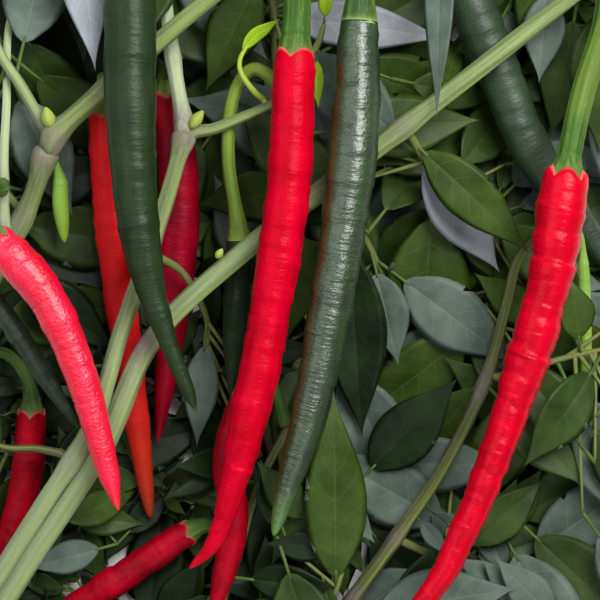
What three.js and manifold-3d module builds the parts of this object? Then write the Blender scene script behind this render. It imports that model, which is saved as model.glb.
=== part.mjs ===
// A cut branch of a chilli pepper plant, lying on its back with its ripe and green pods on top.
// Millimetres, +Z up. Boughs, fruit and leaf sprays each follow a smooth route through a few points.
import * as THREE from "three";
import { mergeVertices } from "three/addons/utils/BufferGeometryUtils.js";
import Module from "manifold-3d";

const wasm = await Module();
wasm.setup();

// The middle of the underside of the branch's box, in the routes' coordinates: it is moved to the origin.
const MIDDLE = new THREE.Vector3(-1.913, 2.776, 0.775);
const GAP = 0.3; // between two pieces that touch in life
const STEP = { bough: 12, stalk: 6, twig: 7 }; // length of the facets along each
const UP = new THREE.Vector3(0, 0, 1);

// Boughs: the bough that each grows from, its radius at foot and tip, its route.
const BOUGHS = {
  main_stem: {
    radii: [4, 2.6],
    sides: 8,
    route: [[-122, -136, 4.5], [-92, -90, 26], [-64, -47, 41], [-48, -13, 44], [-19, 15, 44], [26, 50, 44],
      [72, 86, 41], [114, 119, 29]],
  },
  left_stem: {
    from: "main_stem",
    radii: [2.7, 2.7],
    route: [[-113, -104, 20], [-84, -65.5, 36.5], [-67, -38.5, 43], [-58, -10, 43], [-45, 28, 41],
      [-38, 53, 39]],
  },
  left_stem_top: {
    from: "left_stem",
    radii: [2.5, 1.8],
    route: [[-38, 59, 39], [-41, 75, 37], [-44, 96, 32], [-47, 118, 22], [-51, 141, 8]],
  },
  side_twig: {
    from: "left_stem",
    radii: [1.9, 1.3],
    sides: 5,
    route: [[-34, 55, 39], [-28, 56, 39], [-18, 60, 40], [-9, 64, 40], [-3, 69, 39], [1, 77, 37]],
  },
  left_bough: {
    from: "main_stem",
    radii: [3.3, 2.9],
    route: [[-119, -113, 13], [-122, -82, 18], [-120, -47, 19], [-111, -12, 21], [-99, 13, 26], [-89, 32, 32],
      [-83, 48, 39]],
  },
  left_bough_top: {
    from: "left_bough",
    radii: [3.2, 2.2],
    route: [[-80, 55, 41], [-65, 67, 44], [-44, 85, 47], [-30, 97, 47], [-13, 110, 47], [16, 129, 46],
      [46, 142, 40]],
  },
  outer_twig: {
    from: "left_bough",
    radii: [1.7, 1.2],
    sides: 5,
    route: [[-101, 26, 33], [-97, 46, 37], [-96, 65, 38], [-96, 82, 37], [-95, 92, 36], [-92, 103, 34]],
  },
  corner_twig: {
    from: "left_bough_top",
    radii: [1.8, 1.3],
    sides: 5,
    route: [[-85, 59, 41], [-91, 70, 42], [-98, 81, 42], [-105, 98, 40], [-112, 128, 34]],
  },
  lower_bough: {
    from: "main_stem",
    radii: [2.8, 2.4],
    route: [[-108, -126, 8], [-87, -133, 4], [-58, -135, 3.5], [-24, -131, 3.5], [3, -119, 5],
      [15, -105, 10]],
  },
  right_bough: {
    from: "lower_bough",
    radii: [2.4, 1.6],
    route: [[19, -99, 13], [32, -80, 18], [47, -57, 22], [61, -28, 26], [68, -3, 28], [73, 15, 29],
      [86, 27, 30]],
  },
  inner_twig: {
    from: "lower_bough",
    radii: [1.8, 1.3],
    sides: 5,
    route: [[-30, -127, 4], [-26, -101, 13], [-20, -82, 19], [-13, -60, 23], [0, -35, 26]],
  },
  inner_bough: {
    from: "lower_bough",
    radii: [2.8, 2],
    sides: 6,
    route: [[-8, -124, 5], [-2, -112, 8], [2, -101, 10], [-1, -74, 13], [-7, -57, 15], [-11, -43, 17], [-12, -30, 18]],
  },
  low_twig: {
    from: "left_stem",
    radii: [1.4, 1],
    sides: 5,
    route: [[-78, -50, 37], [-87, -49, 32], [-97, -49, 28], [-107, -46, 25]],
  },
};

// Pods: the bough, the pedicel's radius, the pod's largest radius, how bluntly it tapers and where the taper
// starts, its ripeness, and one route from the bough to the pod's tip. seam is the route's point where the
// calyx ends and the flesh begins.
const FRUIT = {
  centre_red: {
    from: "left_bough_top", stalk: 4.4, radius: 7.3, blunt: 0.57, taper: 0.3, colour: "ripe", sides: 10,
    route: [[0.5, 117.5, 53], [-0.5, 102, 58], [-1.5, 80, 56], [-4, 32, 58], [-10, -6.5, 57], [-18, -45, 56],
      [-26.5, -75.5, 53], [-35.5, -86.5, 51]],
    seam: 2,
  },
  centre_green: {
    from: "left_bough_top", stalk: 4.1, radius: 8.1, blunt: 0.52, taper: 0.2, colour: "green", sides: 10,
    route: [[21, 128, 53], [20, 110, 58], [19, 89, 56], [17, 48, 58], [11, 5, 57], [4, -32, 55],
      [-3.5, -58, 52], [-8.5, -76, 50]],
    seam: 2,
  },
  left_green: {
    from: "left_stem_top", stalk: 2.8, radius: 8, blunt: 1, taper: 0.2, colour: "green", sides: 10,
    route: [[-49.5, 135.5, 17], [-51.5, 135, 38], [-53.5, 125, 52], [-54, 112, 56], [-54, 60.5, 59],
      [-51, 20.5, 58], [-44.5, -6.5, 57], [-33, -36.5, 54]],
    seam: 3,
  },
  right_red: {
    from: "main_stem", stalk: 3.8, radius: 8, blunt: 0.5, taper: 0.15, colour: "ripe", sides: 10,
    route: [[101.5, 107, 42], [98, 88.5, 50], [90.5, 65.5, 55], [85.5, 42, 56], [80.5, 9.5, 56],
      [73.5, -17.5, 54], [63, -49, 53], [47.5, -85.5, 51], [29.5, -110.5, 49]],
    seam: 3,
  },
  left_red: {
    from: "outer_twig", stalk: 2.4, radius: 7, blunt: 0.7, taper: 0.1, colour: "ripe", sides: 10,
    route: [[-98.5, 35.5, 44], [-103, 34.5, 53], [-102.5, 25, 57], [-95.5, 18, 56], [-80.5, 0, 56],
      [-70.5, -24, 54], [-63, -50, 52], [-58.5, -68, 50]],
    seam: 3,
  },
  upper_green: {
    from: "left_bough_top", stalk: 2.6, radius: 7.4, blunt: 0.6, taper: 0.25, colour: "green",
    route: [[47, 140.5, 34], [49.5, 128.5, 33], [51, 112.5, 33], [63, 82.5, 29], [77, 50, 25], [97, 22, 18],
      [112, 3.5, 12]],
    seam: 2,
  },
  orange_red: {
    from: "left_bough_top", stalk: 2.2, radius: 5.4, blunt: 0.45, taper: 0.3, colour: "turning",
    route: [[-64.5, 74, 37], [-65, 69, 34], [-65, 63, 30], [-63, 26.5, 26], [-58, -13.5, 22],
      [-50.5, -73.5, 12]],
    seam: 2,
  },
  shaded_red: {
    from: "left_stem_top", stalk: 2.2, radius: 6.6, blunt: 0.7, taper: 0.3, colour: "ripe",
    route: [[-41.5, 79, 32], [-43.5, 76, 28], [-44, 70, 24], [-40, 33.5, 20], [-43, -6.5, 16],
      [-48, -48, 14]],
    seam: 2,
  },
  lower_red: {
    from: "left_bough", stalk: 1.9, radius: 5.5, blunt: 0.5, taper: 0.4, colour: "ripe",
    route: [[-106, -18, 20], [-98, -18, 22], [-92, -25, 21], [-90, -36.5, 18], [-93.5, -66, 13],
      [-104.5, -103.5, 9]],
    seam: 3,
  },
  bottom_red: {
    from: "inner_twig", stalk: 2, radius: 5, blunt: 0.5, taper: 0.5, colour: "ripe",
    route: [[-22, -86, 17], [-28.5, -76.5, 17], [-36.5, -77.5, 16], [-57.5, -92, 13], [-86.5, -109, 9]],
    seam: 2,
  },
  behind_green: {
    from: "side_twig", stalk: 2.2, radius: 4.6, blunt: 0.6, taper: 0.2, colour: "green",
    route: [[-8, 72, 38], [-15.5, 75.5, 38], [-22, 66, 36], [-23.5, 46, 34], [-20, 20, 31], [-21.5, -3.5, 28],
      [-22.5, -33.5, 24]],
    seam: 4,
  },
  far_left_green: {
    from: "outer_twig", stalk: 1.8, radius: 3.6, blunt: 0.6, taper: 0.3, colour: "green",
    route: [[-104.5, 24, 32], [-109, 17, 36], [-104, 5, 36], [-91.5, -13, 35], [-80.5, -30.5, 33],
      [-73, -42.5, 30]],
    seam: 2,
  },
  behind_red: {
    from: "inner_twig", stalk: 1.8, radius: 5, blunt: 0.5, taper: 0.4, colour: "ripe",
    route: [[-4, -41.5, 27], [-9, -28, 31], [-16, -23.5, 33], [-18, -30.5, 32], [-23.5, -53, 30],
      [-22, -76, 28], [-29.5, -106.5, 24]],
    seam: 3,
  },
};

// Young pods, each one piece with its stalk.
const YOUNG = {
  young_pod_right: {
    from: "right_bough", stalk: 0.9, radius: 2,
    route: [[88, 26, 30], [92.5, 22, 30], [94, 12, 27], [95, -13.5, 25], [95, -47.5, 22]],
    seam: 2,
  },
  young_pod_left: {
    from: "left_bough", stalk: 1.1, radius: 2.8,
    route: [[-81, 45, 36], [-79, 39, 33], [-79, 31.5, 31], [-78, 19, 27]],
    seam: 1,
  },
};

// Sprays: the bough, the twig's route, the leaves that have a place of their own (where they leave the twig,
// as a share of its length, their tip, width, bow and roll), and how many more are tried by the seeded rule.
const SPRAYS = {
  leaves_top_left: {
    from: "left_stem_top", seed: 11, more: 9,
    route: [[-50, 128, 16], [-62, 133, 24], [-80, 136, 30], [-102, 138, 22]],
    own: [{ at: 0.45, tip: [-66, 73.5, 49], width: 20, bow: 9, roll: -0.25 }],
  },
  leaves_top_centre: {
    from: "left_bough_top", seed: 23, more: 9,
    route: [[-12, 107, 42], [-9, 96, 30], [-8, 74, 18], [-2, 52, 11]],
    own: [{ at: 0.3, tip: [50, 87, 22], width: 16, bow: 3, roll: 0.15 }],
  },
  leaves_top_right: {
    from: "left_bough_top", seed: 37, more: 9,
    route: [[42, 134, 44], [54, 123, 41], [72, 119, 28], [96, 130, 12]],
    own: [{ at: 0.1, tip: [44, 57.5, 50], width: 11, bow: 6, roll: 0.5 }],
  },
  leaves_upper_right: {
    from: "main_stem", seed: 41, more: 9,
    route: [[37, 52, 40], [42, 45, 34], [52, 36, 24], [66, 30, 12]],
    own: [
      { at: 0.08, tip: [76, 15, 33], width: 17, bow: 6, roll: 0.2 },
      { at: 0.15, tip: [67, 9, 19], width: 20, bow: 1, roll: -0.1 },
    ],
  },
  leaves_right: {
    from: "right_bough", seed: 53, more: 9,
    route: [[66, -26, 27], [78, -22, 28], [92, -18, 30], [102, -16, 29]],
    own: [
      { at: 0.97, tip: [73, -55, 37], width: 18, bow: 8, roll: -0.35 },
      { at: 0.75, tip: [88, 8, 38], width: 13, bow: 3, roll: 0.3 },
    ],
  },
  leaves_centre: {
    from: "main_stem", seed: 61, more: 9,
    route: [[13, 35, 41], [17, 28, 34], [25, 14, 22], [34, -6, 12]],
    own: [
      { at: 0.1, tip: [21, -47, 12], width: 22, bow: 2, roll: 0.1 },
      { at: 0.5, tip: [33, -22, 20], width: 16, bow: 2, roll: 0.2 },
    ],
  },
  leaves_lower_centre: {
    from: "lower_bough", seed: 73, more: 6,
    route: [[5, -112, 9], [8, -106, 15], [12, -97, 20], [16, -84, 23]],
    own: [{ at: 0.6, tip: [11, -29, 33], width: 21, bow: 5, roll: 0.1 }],
  },
  leaves_inner: {
    from: "inner_twig", seed: 79, more: 7,
    route: [[3, -29, 27], [6, -22, 24], [8, -12, 16], [6, 0, 8]],
    own: [],
  },
  leaves_lower_right: {
    from: "right_bough", seed: 83, more: 9,
    route: [[36, -82, 17], [48, -87, 13], [64, -90, 8], [84, -88, 5]],
    own: [{ at: 0.35, tip: [82, -60, 16], width: 15, bow: 3, roll: 0 }],
  },
  leaves_lower_left: {
    from: "lower_bough", seed: 97, more: 9,
    route: [[-57, -129, 5], [-55, -121, 6], [-47, -112, 4], [-44, -100, 3]],
    own: [],
  },
  leaves_left: {
    from: "left_bough", seed: 101, more: 9,
    route: [[-116, -48, 20], [-109, -50, 12], [-92, -51, 5], [-76, -51, 4]],
    own: [],
  },
  leaves_middle_left: {
    from: "left_stem", seed: 113, more: 9,
    route: [[-46, 14, 38], [-38, 8, 30], [-31, -8, 18], [-33, -26, 8]],
    own: [{ at: 0.6, tip: [-35, -50, 10], width: 12, bow: 2, roll: 0 }],
  },
  leaves_upper_left: {
    from: "left_bough", seed: 127, more: 9,
    route: [[-92, 29, 29], [-98, 36, 24], [-107, 46, 14], [-113, 62, 6]],
    own: [{ at: 0.1, tip: [-119, 16, 24], width: 13, bow: 2, roll: 0.2 }],
  },
  leaves_far_corner: {
    from: "corner_twig", seed: 131, more: 9,
    route: [[-112, 132, 32], [-109, 138, 24], [-102, 138, 14], [-98, 126, 6]],
    own: [],
  },
  leaves_outer: {
    from: "outer_twig", seed: 139, more: 9,
    route: [[-91, 107, 32], [-89, 112, 27], [-86, 116, 19], [-84, 122, 10]],
    own: [],
  },
  leaves_stem_tip: {
    from: "main_stem", seed: 149, more: 9,
    route: [[116, 122, 28], [117, 130, 22], [110, 136, 13], [100, 136, 5]],
    own: [],
  },
  leaves_side: {
    from: "side_twig", seed: 157, more: 0,
    route: [[3, 80, 36], [6, 84, 37], [8, 91, 39]],
    own: [
      { at: 0.3, tip: [6, 62, 42], width: 5, bow: 1, roll: 0.4 },
      { at: 0.9, tip: [9, 103, 45], width: 5, bow: 1, roll: -0.4 },
    ],
  },
};

const LEAF = { length: 62, share: 0.38, petiole: 0.2, fold: 0.16, bow: 1.5 };
const LEVELS = [0.9, 4, 7, 10, 13, 16, 19, 22]; // heights that a leaf's tip may lie at
const TRIES = 6; // headings tried for each leaf
const CELL = 2; // side of the cells that keep the leaves apart
const CLEAR = 1.7; // height kept free over and under a leaf
const SKY = 70; // height up to which no leaf grown by rule passes over a pod, a placed leaf or a bough in OPEN
const OPEN = ["right_bough"];
const REACH = { x: 122, y: 142, low: 0.7 };
const COLOURS = { ripe: 0xd8061c, green: 0x2e4a2c, turning: 0xc8300c, stem: 0x8da560, leaf: 0x3d5a34 };

// A route: its length, and the frame at a distance from its start.
class Route {
  constructor(points) {
    const knots = points.map((p) => new THREE.Vector3(...p));
    this.curve = new THREE.CatmullRomCurve3(knots, false, "catmullrom", 0.5);
    this.curve.arcLengthDivisions = 400;
    this.length = this.curve.getLength();
    this.knots = knots.length - 1;
  }
  // Distance along the route to its knot of the given number.
  reach(knot) {
    const lengths = this.curve.getLengths();
    return lengths[Math.round((knot / this.knots) * (lengths.length - 1))];
  }
  at(distance) {
    const u = Math.min(1, Math.max(0, distance / this.length));
    const point = this.curve.getPointAt(u);
    const along = this.curve.getTangentAt(u);
    const side = along.clone().cross(UP).normalize();
    return { point, along, side, up: side.clone().cross(along) };
  }
  nearest(target) {
    let best = { away: Infinity };
    for (let i = 0; i <= 200; i++) {
      const distance = (i / 200) * this.length;
      const away = this.at(distance).point.distanceTo(target);
      if (away < best.away) best = { away, distance };
    }
    return best.distance;
  }
}

// A closed mesh from rings of equally many points, with a point or a flat face at each end.
function skin(rings, first, last) {
  const n = rings[0].length;
  const points = rings.flat();
  const faces = [];
  for (let k = 0; k + 1 < rings.length; k++)
    for (let j = 0; j < n; j++) {
      const a = k * n + j;
      const b = k * n + ((j + 1) % n);
      faces.push(a, b + n, b, a, a + n, b + n);
    }
  const end = (rings.length - 1) * n;
  if (first) points.push(first);
  const start = points.length - 1;
  for (let j = first ? 0 : 1; j < (first ? n : n - 1); j++) {
    faces.push(first ? start : 0, j, (j + 1) % n);
  }
  if (last) points.push(last);
  const tip = points.length - 1;
  for (let j = last ? 0 : 1; j < (last ? n : n - 1); j++) {
    faces.push(last ? tip : end, end + ((j + 1) % n), end + j);
  }
  const geometry = new THREE.BufferGeometry();
  geometry.setAttribute("position", new THREE.Float32BufferAttribute(points.flatMap((p) => p.toArray()), 3));
  geometry.setIndex(faces);
  return geometry;
}

function ringAt(frame, radius, sides) {
  return Array.from({ length: sides }, (_, j) => {
    const angle = (j / sides) * 2 * Math.PI;
    return frame.point
      .clone()
      .addScaledVector(frame.side, radius * Math.cos(angle))
      .addScaledVector(frame.up, radius * Math.sin(angle));
  });
}

// A tube between two distances of a route. A round end reaches one radius past its distance.
function tube(route, from, to, radiusAt, sides, steps, roundStart, roundEnd) {
  const rings = [];
  const cap = (distance, sign) => {
    const frame = route.at(distance);
    const radius = radiusAt(distance);
    const moved = (by) => frame.point.clone().addScaledVector(frame.along, sign * by * radius);
    return { ring: ringAt({ ...frame, point: moved(0.7) }, 0.72 * radius, sides), pole: moved(1) };
  };
  const start = roundStart ? cap(from, -1) : null;
  const end = roundEnd ? cap(to, 1) : null;
  if (start) rings.push(start.ring);
  for (let i = 0; i <= steps; i++) {
    const distance = from + ((to - from) * i) / steps;
    rings.push(ringAt(route.at(distance), radiusAt(distance), sides));
  }
  if (end) rings.push(end.ring);
  return skin(rings, start?.pole, end?.pole);
}

// The cells that hold something, each with the heights that are taken and the name of what takes them.
const taken = new Map();
const cellOf = (x, y) => Math.floor(x / CELL) + "," + Math.floor(y / CELL);
function take(owner, x, y, low, high) {
  const key = cellOf(x, y);
  if (!taken.has(key)) taken.set(key, []);
  taken.get(key).push({ owner, low, high });
}
function isTaken(owner, x, y, z) {
  const here = taken.get(cellOf(x, y)) ?? [];
  return here.some((t) => t.owner !== owner && z > t.low - CLEAR && z < t.high + CLEAR);
}
function takeTube(owner, route, radiusAt, top) {
  for (let distance = 0; distance <= route.length; distance += 1.5) {
    const { point } = route.at(distance);
    const radius = radiusAt(distance);
    const reach = radius + CELL;
    for (let dx = -reach; dx <= reach; dx += CELL)
      for (let dy = -reach; dy <= reach; dy += CELL) {
        const inside = reach * reach - dx * dx - dy * dy;
        if (inside <= 0) continue;
        const half = Math.min(radius, Math.sqrt(inside));
        take(owner, point.x + dx, point.y + dy, point.z - half, top ?? point.z + half);
      }
  }
}

const group = new THREE.Group();
function addMesh(name, geometry, colour, roughness) {
  const material = new THREE.MeshStandardMaterial({ color: COLOURS[colour], roughness, metalness: 0 });
  const mesh = new THREE.Mesh(geometry, material);
  mesh.name = name;
  mesh.position.copy(MIDDLE).negate();
  group.add(mesh);
}

// The route with its first point moved so that a round end of the given radius lies GAP from its bough.
function seated(points, from, radius) {
  const bough = boughs[from];
  const hint = new THREE.Vector3(...points[0]);
  const distance = bough.route.nearest(hint);
  const axis = bough.route.at(distance).point;
  const away = hint.clone().sub(axis).normalize();
  const start = axis.addScaledVector(away, bough.radiusAt(distance) + GAP + radius);
  return new Route([start.toArray(), ...points.slice(1)]);
}

// Boughs
const boughs = {};
for (const [name, bough] of Object.entries(BOUGHS)) {
  const [foot, tip] = bough.radii;
  const route = bough.from ? seated(bough.route, bough.from, foot) : new Route(bough.route);
  const radiusAt = (distance) => foot + ((tip - foot) * distance) / route.length;
  boughs[name] = { route, radiusAt };
  const steps = Math.round(route.length / STEP.bough);
  const isCut = !bough.from;
  addMesh(name, tube(route, 0, route.length, radiusAt, bough.sides ?? 7, steps, !isCut, true), "stem", 0.6);
  takeTube(name, route, radiusAt, OPEN.includes(name) ? SKY : undefined);
}

// Pods, each under its calyx and stalk
const podRadius = (fruit, length) => (distance) => {
  const t = distance / length;
  const u = Math.max(0, (t - fruit.taper) / (1 - fruit.taper));
  const shoulder = 1 - 0.11 * Math.exp(-distance / 5);
  return fruit.radius * shoulder * Math.pow(Math.max(0, 1 - u * u), fruit.blunt);
};
const FLARE = 9; // length over which a stalk widens to its calyx
const stalkRadius = (fruit, seam, edge) => (distance) => {
  const near = Math.max(0, 1 - (seam - distance) / FLARE);
  return fruit.stalk + (edge - fruit.stalk) * near * near;
};
const POD_STEPS = 11;
function podSkin(route, seam, radiusAt, sides) {
  const length = route.length - seam;
  const rings = [];
  for (let i = 0; i < POD_STEPS; i++) {
    const x = i / POD_STEPS;
    const distance = (length * (x + Math.sin((x * Math.PI) / 2))) / 2;
    rings.push(ringAt(route.at(seam + distance), radiusAt(distance), sides));
  }
  return skin(rings, null, route.at(route.length).point);
}
for (const [name, fruit] of Object.entries(FRUIT)) {
  const route = seated(fruit.route, fruit.from, fruit.stalk);
  const seam = route.reach(fruit.seam);
  const flesh = podRadius(fruit, route.length - seam);
  const stalk = stalkRadius(fruit, seam, 0.86 * fruit.radius);
  const sides = fruit.sides ?? 8;
  const steps = Math.max(3, Math.round(seam / STEP.stalk));
  addMesh("calyx_" + name, tube(route, 0, seam - GAP / 2, stalk, sides, steps, true, false), "stem", 0.55);
  addMesh("pod_" + name, podSkin(route, seam + GAP / 2, flesh, sides), fruit.colour, 0.2);
  takeTube(name, route, (distance) => (distance < seam ? stalk(distance) : flesh(distance - seam)), SKY);
}
for (const [name, fruit] of Object.entries(YOUNG)) {
  const route = seated(fruit.route, fruit.from, fruit.stalk);
  const seam = route.reach(fruit.seam);
  const full = podRadius({ ...fruit, blunt: 0.6, taper: 0.3 }, route.length - seam);
  const radiusAt = (distance) => {
    if (distance >= seam) return Math.max(0.4, full(distance - seam));
    return stalkRadius(fruit, seam, fruit.radius * 0.9)(distance);
  };
  addMesh(name, tube(route, 0, route.length, radiusAt, 7, 12, true, true), "leaf", 0.3);
  takeTube(name, route, radiusAt);
}

// A leaf: a petiole that widens into a pointed blade, folded along its rib and bowed from root to tip.
const BLADE_RINGS = [0, 0.16, 0.42, 0.7, 0.9];
function leafAt(leaf, t) {
  const { root, tip, bow, width, roll } = leaf;
  const middle = root.clone().add(tip).multiplyScalar(0.5).addScaledVector(UP, 2 * bow);
  const curve = new THREE.QuadraticBezierCurve3(root, middle, tip);
  const point = curve.getPoint(t);
  const along = curve.getTangent(t);
  const level = along.clone().cross(UP).normalize();
  const side = level.clone().applyAxisAngle(along, roll);
  const blade = Math.max(0, (t - LEAF.petiole) / (1 - LEAF.petiole));
  const bulge = Math.sin(Math.PI * Math.pow(blade, 0.75));
  const half = blade > 0 ? (width / 2) * Math.pow(Math.max(0, bulge), 0.9 + 0.6 * blade) : 0;
  return { point, side, up: side.clone().cross(along), half };
}
function leafSkin(leaf) {
  const length = leaf.root.distanceTo(leaf.tip);
  const thick = Math.max(0.55, length / 170);
  const stations = [0, ...BLADE_RINGS.map((b) => LEAF.petiole + b * (1 - LEAF.petiole))];
  const rings = stations.map((t) => {
    const { point, side, up, half } = leafAt(leaf, t);
    const wide = Math.max(thick, half);
    const lift = half * LEAF.fold;
    const place = (across, above) => point.clone().addScaledVector(side, across).addScaledVector(up, above);
    return [place(wide, lift), place(0, thick), place(-wide, lift), place(0, -thick)];
  });
  return skin(rings, null, leaf.tip);
}
// The points of a blade that are tried against the cells, and that take them once the leaf is there.
function bladePoints(leaf) {
  const points = [];
  for (let i = 4; i <= 40; i++) {
    const { point, side, up, half } = leafAt(leaf, i / 40);
    for (let j = -6; j <= 6; j++) {
      const across = (half * j) / 6;
      points.push(
        point.clone().addScaledVector(side, across).addScaledVector(up, Math.abs(across) * LEAF.fold),
      );
    }
  }
  return points;
}
const HALF_LEAF = 0.6; // half the height that a blade takes in a cell
const takeLeaf = (owner, leaf, top) =>
  bladePoints(leaf).forEach((p) => take(owner, p.x, p.y, p.z - HALF_LEAF, top ?? p.z + HALF_LEAF));
const inReach = (p) => Math.abs(p.x) < REACH.x && Math.abs(p.y) < REACH.y && p.z > REACH.low;
const fits = (owner, leaf) => bladePoints(leaf).every((p) => inReach(p) && !isTaken(owner, p.x, p.y, p.z));

// Numbers between 0 and 1 from a seed, the same on every run.
function seeded(seed) {
  let state = seed;
  return () => {
    state = (state * 1664525 + 1013904223) % 4294967296;
    return state / 4294967296;
  };
}

// The leaves that a twig grows by rule: alternate sides, the lowest level where the blade is free.
function grownLeaves(name, spray, route) {
  const random = seeded(spray.seed);
  const grown = [];
  for (let i = 0; i < spray.more; i++) {
    const frame = route.at(route.length * (0.25 + (0.75 * (i + random())) / spray.more));
    const heading = Math.atan2(frame.along.y, frame.along.x);
    const tried = [];
    for (let k = 0; k < TRIES; k++) {
      const angle = heading + ((i + k) % 2 ? 1 : -1) * (0.4 + 2.2 * random());
      const length = LEAF.length * (1.25 - 0.1 * k) * (0.85 + 0.3 * random());
      const roll = 0.5 * (random() - 0.5);
      const x = frame.point.x + length * Math.cos(angle);
      const y = frame.point.y + length * Math.sin(angle);
      const { share: slim, bow } = LEAF;
      for (const level of LEVELS) {
        const tip = new THREE.Vector3(x, y, level);
        tried.push({ root: frame.point, tip, width: length * slim, bow, roll });
      }
    }
    const leaf = tried.find((candidate) => fits(name, candidate));
    if (!leaf) continue;
    takeLeaf(name + i, leaf);
    grown.push(leaf);
  }
  return grown;
}

function solidOf(geometry) {
  const merged = mergeVertices(geometry, 1e-4);
  return new wasm.Manifold(
    new wasm.Mesh({
      numProp: 3,
      vertProperties: merged.attributes.position.array,
      triVerts: new Uint32Array(merged.index.array),
    }),
  );
}
function geometryOf(solid) {
  const mesh = solid.getMesh();
  const geometry = new THREE.BufferGeometry();
  geometry.setAttribute("position", new THREE.BufferAttribute(mesh.vertProperties, 3));
  geometry.setIndex(new THREE.BufferAttribute(mesh.triVerts, 1));
  return geometry;
}

// Sprays: first the twigs and the leaves with a place of their own, then the rest
const TWIG = { foot: 1.4, tip: 0.8, sides: 5 };
const sprays = Object.entries(SPRAYS).map(([name, spray]) => {
  const route = seated(spray.route, spray.from, TWIG.foot);
  const radiusAt = (distance) => TWIG.foot + ((TWIG.tip - TWIG.foot) * distance) / route.length;
  takeTube(name, route, radiusAt);
  const leaves = spray.own.map((own) => {
    const root = route.at(route.length * own.at).point;
    const leaf = { ...own, root, tip: new THREE.Vector3(...own.tip) };
    takeLeaf(name + "own", leaf, SKY);
    return leaf;
  });
  return { name, spray, route, radiusAt, leaves };
});
for (const { name, spray, route, radiusAt, leaves } of sprays) {
  const all = [...leaves, ...grownLeaves(name, spray, route)];
  const steps = Math.round(route.length / STEP.twig);
  const twig = tube(route, 0, route.length, radiusAt, TWIG.sides, steps, true, true);
  const solid = all.reduce((sum, leaf) => sum.add(solidOf(leafSkin(leaf))), solidOf(twig));
  addMesh(name, geometryOf(solid), "leaf", 0.5);
}

// The young leaf that curls over the centre pod's stalk
const CURL = { from: "side_twig", petiole: 1, width: 7 };
const curlPoints = [[-13, 66, 41], [-18, 72, 42], [-20, 78, 43], [-18, 83, 44]];
const curlRoute = seated(curlPoints, CURL.from, CURL.petiole);
const curlTip = new THREE.Vector3(-6, 92, 47);
const curlStalk = tube(curlRoute, 0, curlRoute.length, () => CURL.petiole, 5, 6, true, true);
const curlLeaf = {
  root: curlRoute.at(curlRoute.length - 2).point, tip: curlTip, width: CURL.width, bow: 2, roll: 0.6,
};
addMesh("young_leaf", geometryOf(solidOf(curlStalk).add(solidOf(leafSkin(curlLeaf)))), "leaf", 0.4);

export default group;
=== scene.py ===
"""A cut branch of a chilli pepper plant, seen from straight above: stems, pods and leaves in full detail.

The routes and sizes of boughs, pods and sprays and the rule that lays their leaves repeat the part's
source, in millimetres. Finer twigs and leaves grow on from there. MIDDLE and MM bring a shape to its place.
"""
import math

import bpy
import numpy as np
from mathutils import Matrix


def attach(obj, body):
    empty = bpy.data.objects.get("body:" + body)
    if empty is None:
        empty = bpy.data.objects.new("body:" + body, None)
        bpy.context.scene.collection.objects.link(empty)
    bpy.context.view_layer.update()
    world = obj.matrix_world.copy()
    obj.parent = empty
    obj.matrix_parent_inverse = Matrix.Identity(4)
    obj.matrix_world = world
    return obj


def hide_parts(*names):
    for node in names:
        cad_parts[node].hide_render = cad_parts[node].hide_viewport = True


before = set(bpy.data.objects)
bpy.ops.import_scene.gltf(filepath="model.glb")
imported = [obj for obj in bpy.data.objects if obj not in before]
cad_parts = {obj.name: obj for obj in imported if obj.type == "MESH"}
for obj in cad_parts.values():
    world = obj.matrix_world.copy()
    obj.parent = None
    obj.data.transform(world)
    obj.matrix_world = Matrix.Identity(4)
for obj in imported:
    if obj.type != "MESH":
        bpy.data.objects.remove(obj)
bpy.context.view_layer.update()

MM = 0.001
MIDDLE = np.array([-1.913, 2.776, 0.775])  # the middle of the underside of the branch's box
GAP = 0.3
UP = np.array([0.0, 0.0, 1.0])

# Camera: straight above the picture's middle, FRAME_WIDTH across at the height of the front pods
CAMERA_HEIGHT = 856.0
POD_HEIGHT = 56.0
FRAME_WIDTH = 192.0
SENSOR = 36.0

# Floor and lights, in metres. A light has a name, place, size, energy and colour, and it shines at LIT.
FLOOR_HALF, FLOOR_HEIGHT = 1.2, -0.0005
LIT = (0, 0, 0.05)
LIGHTS = [
    ("key", (0.30, 0.36, 0.75), 0.5, 12.0, (1.0, 0.99, 0.97)),
    ("fill", (-0.5, 0.1, 0.7), 0.7, 3.0, (0.95, 0.98, 1.0)),
    ("low", (0.1, -0.6, 0.5), 0.6, 1.5, (0.97, 0.99, 1.0)),
]

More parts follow.
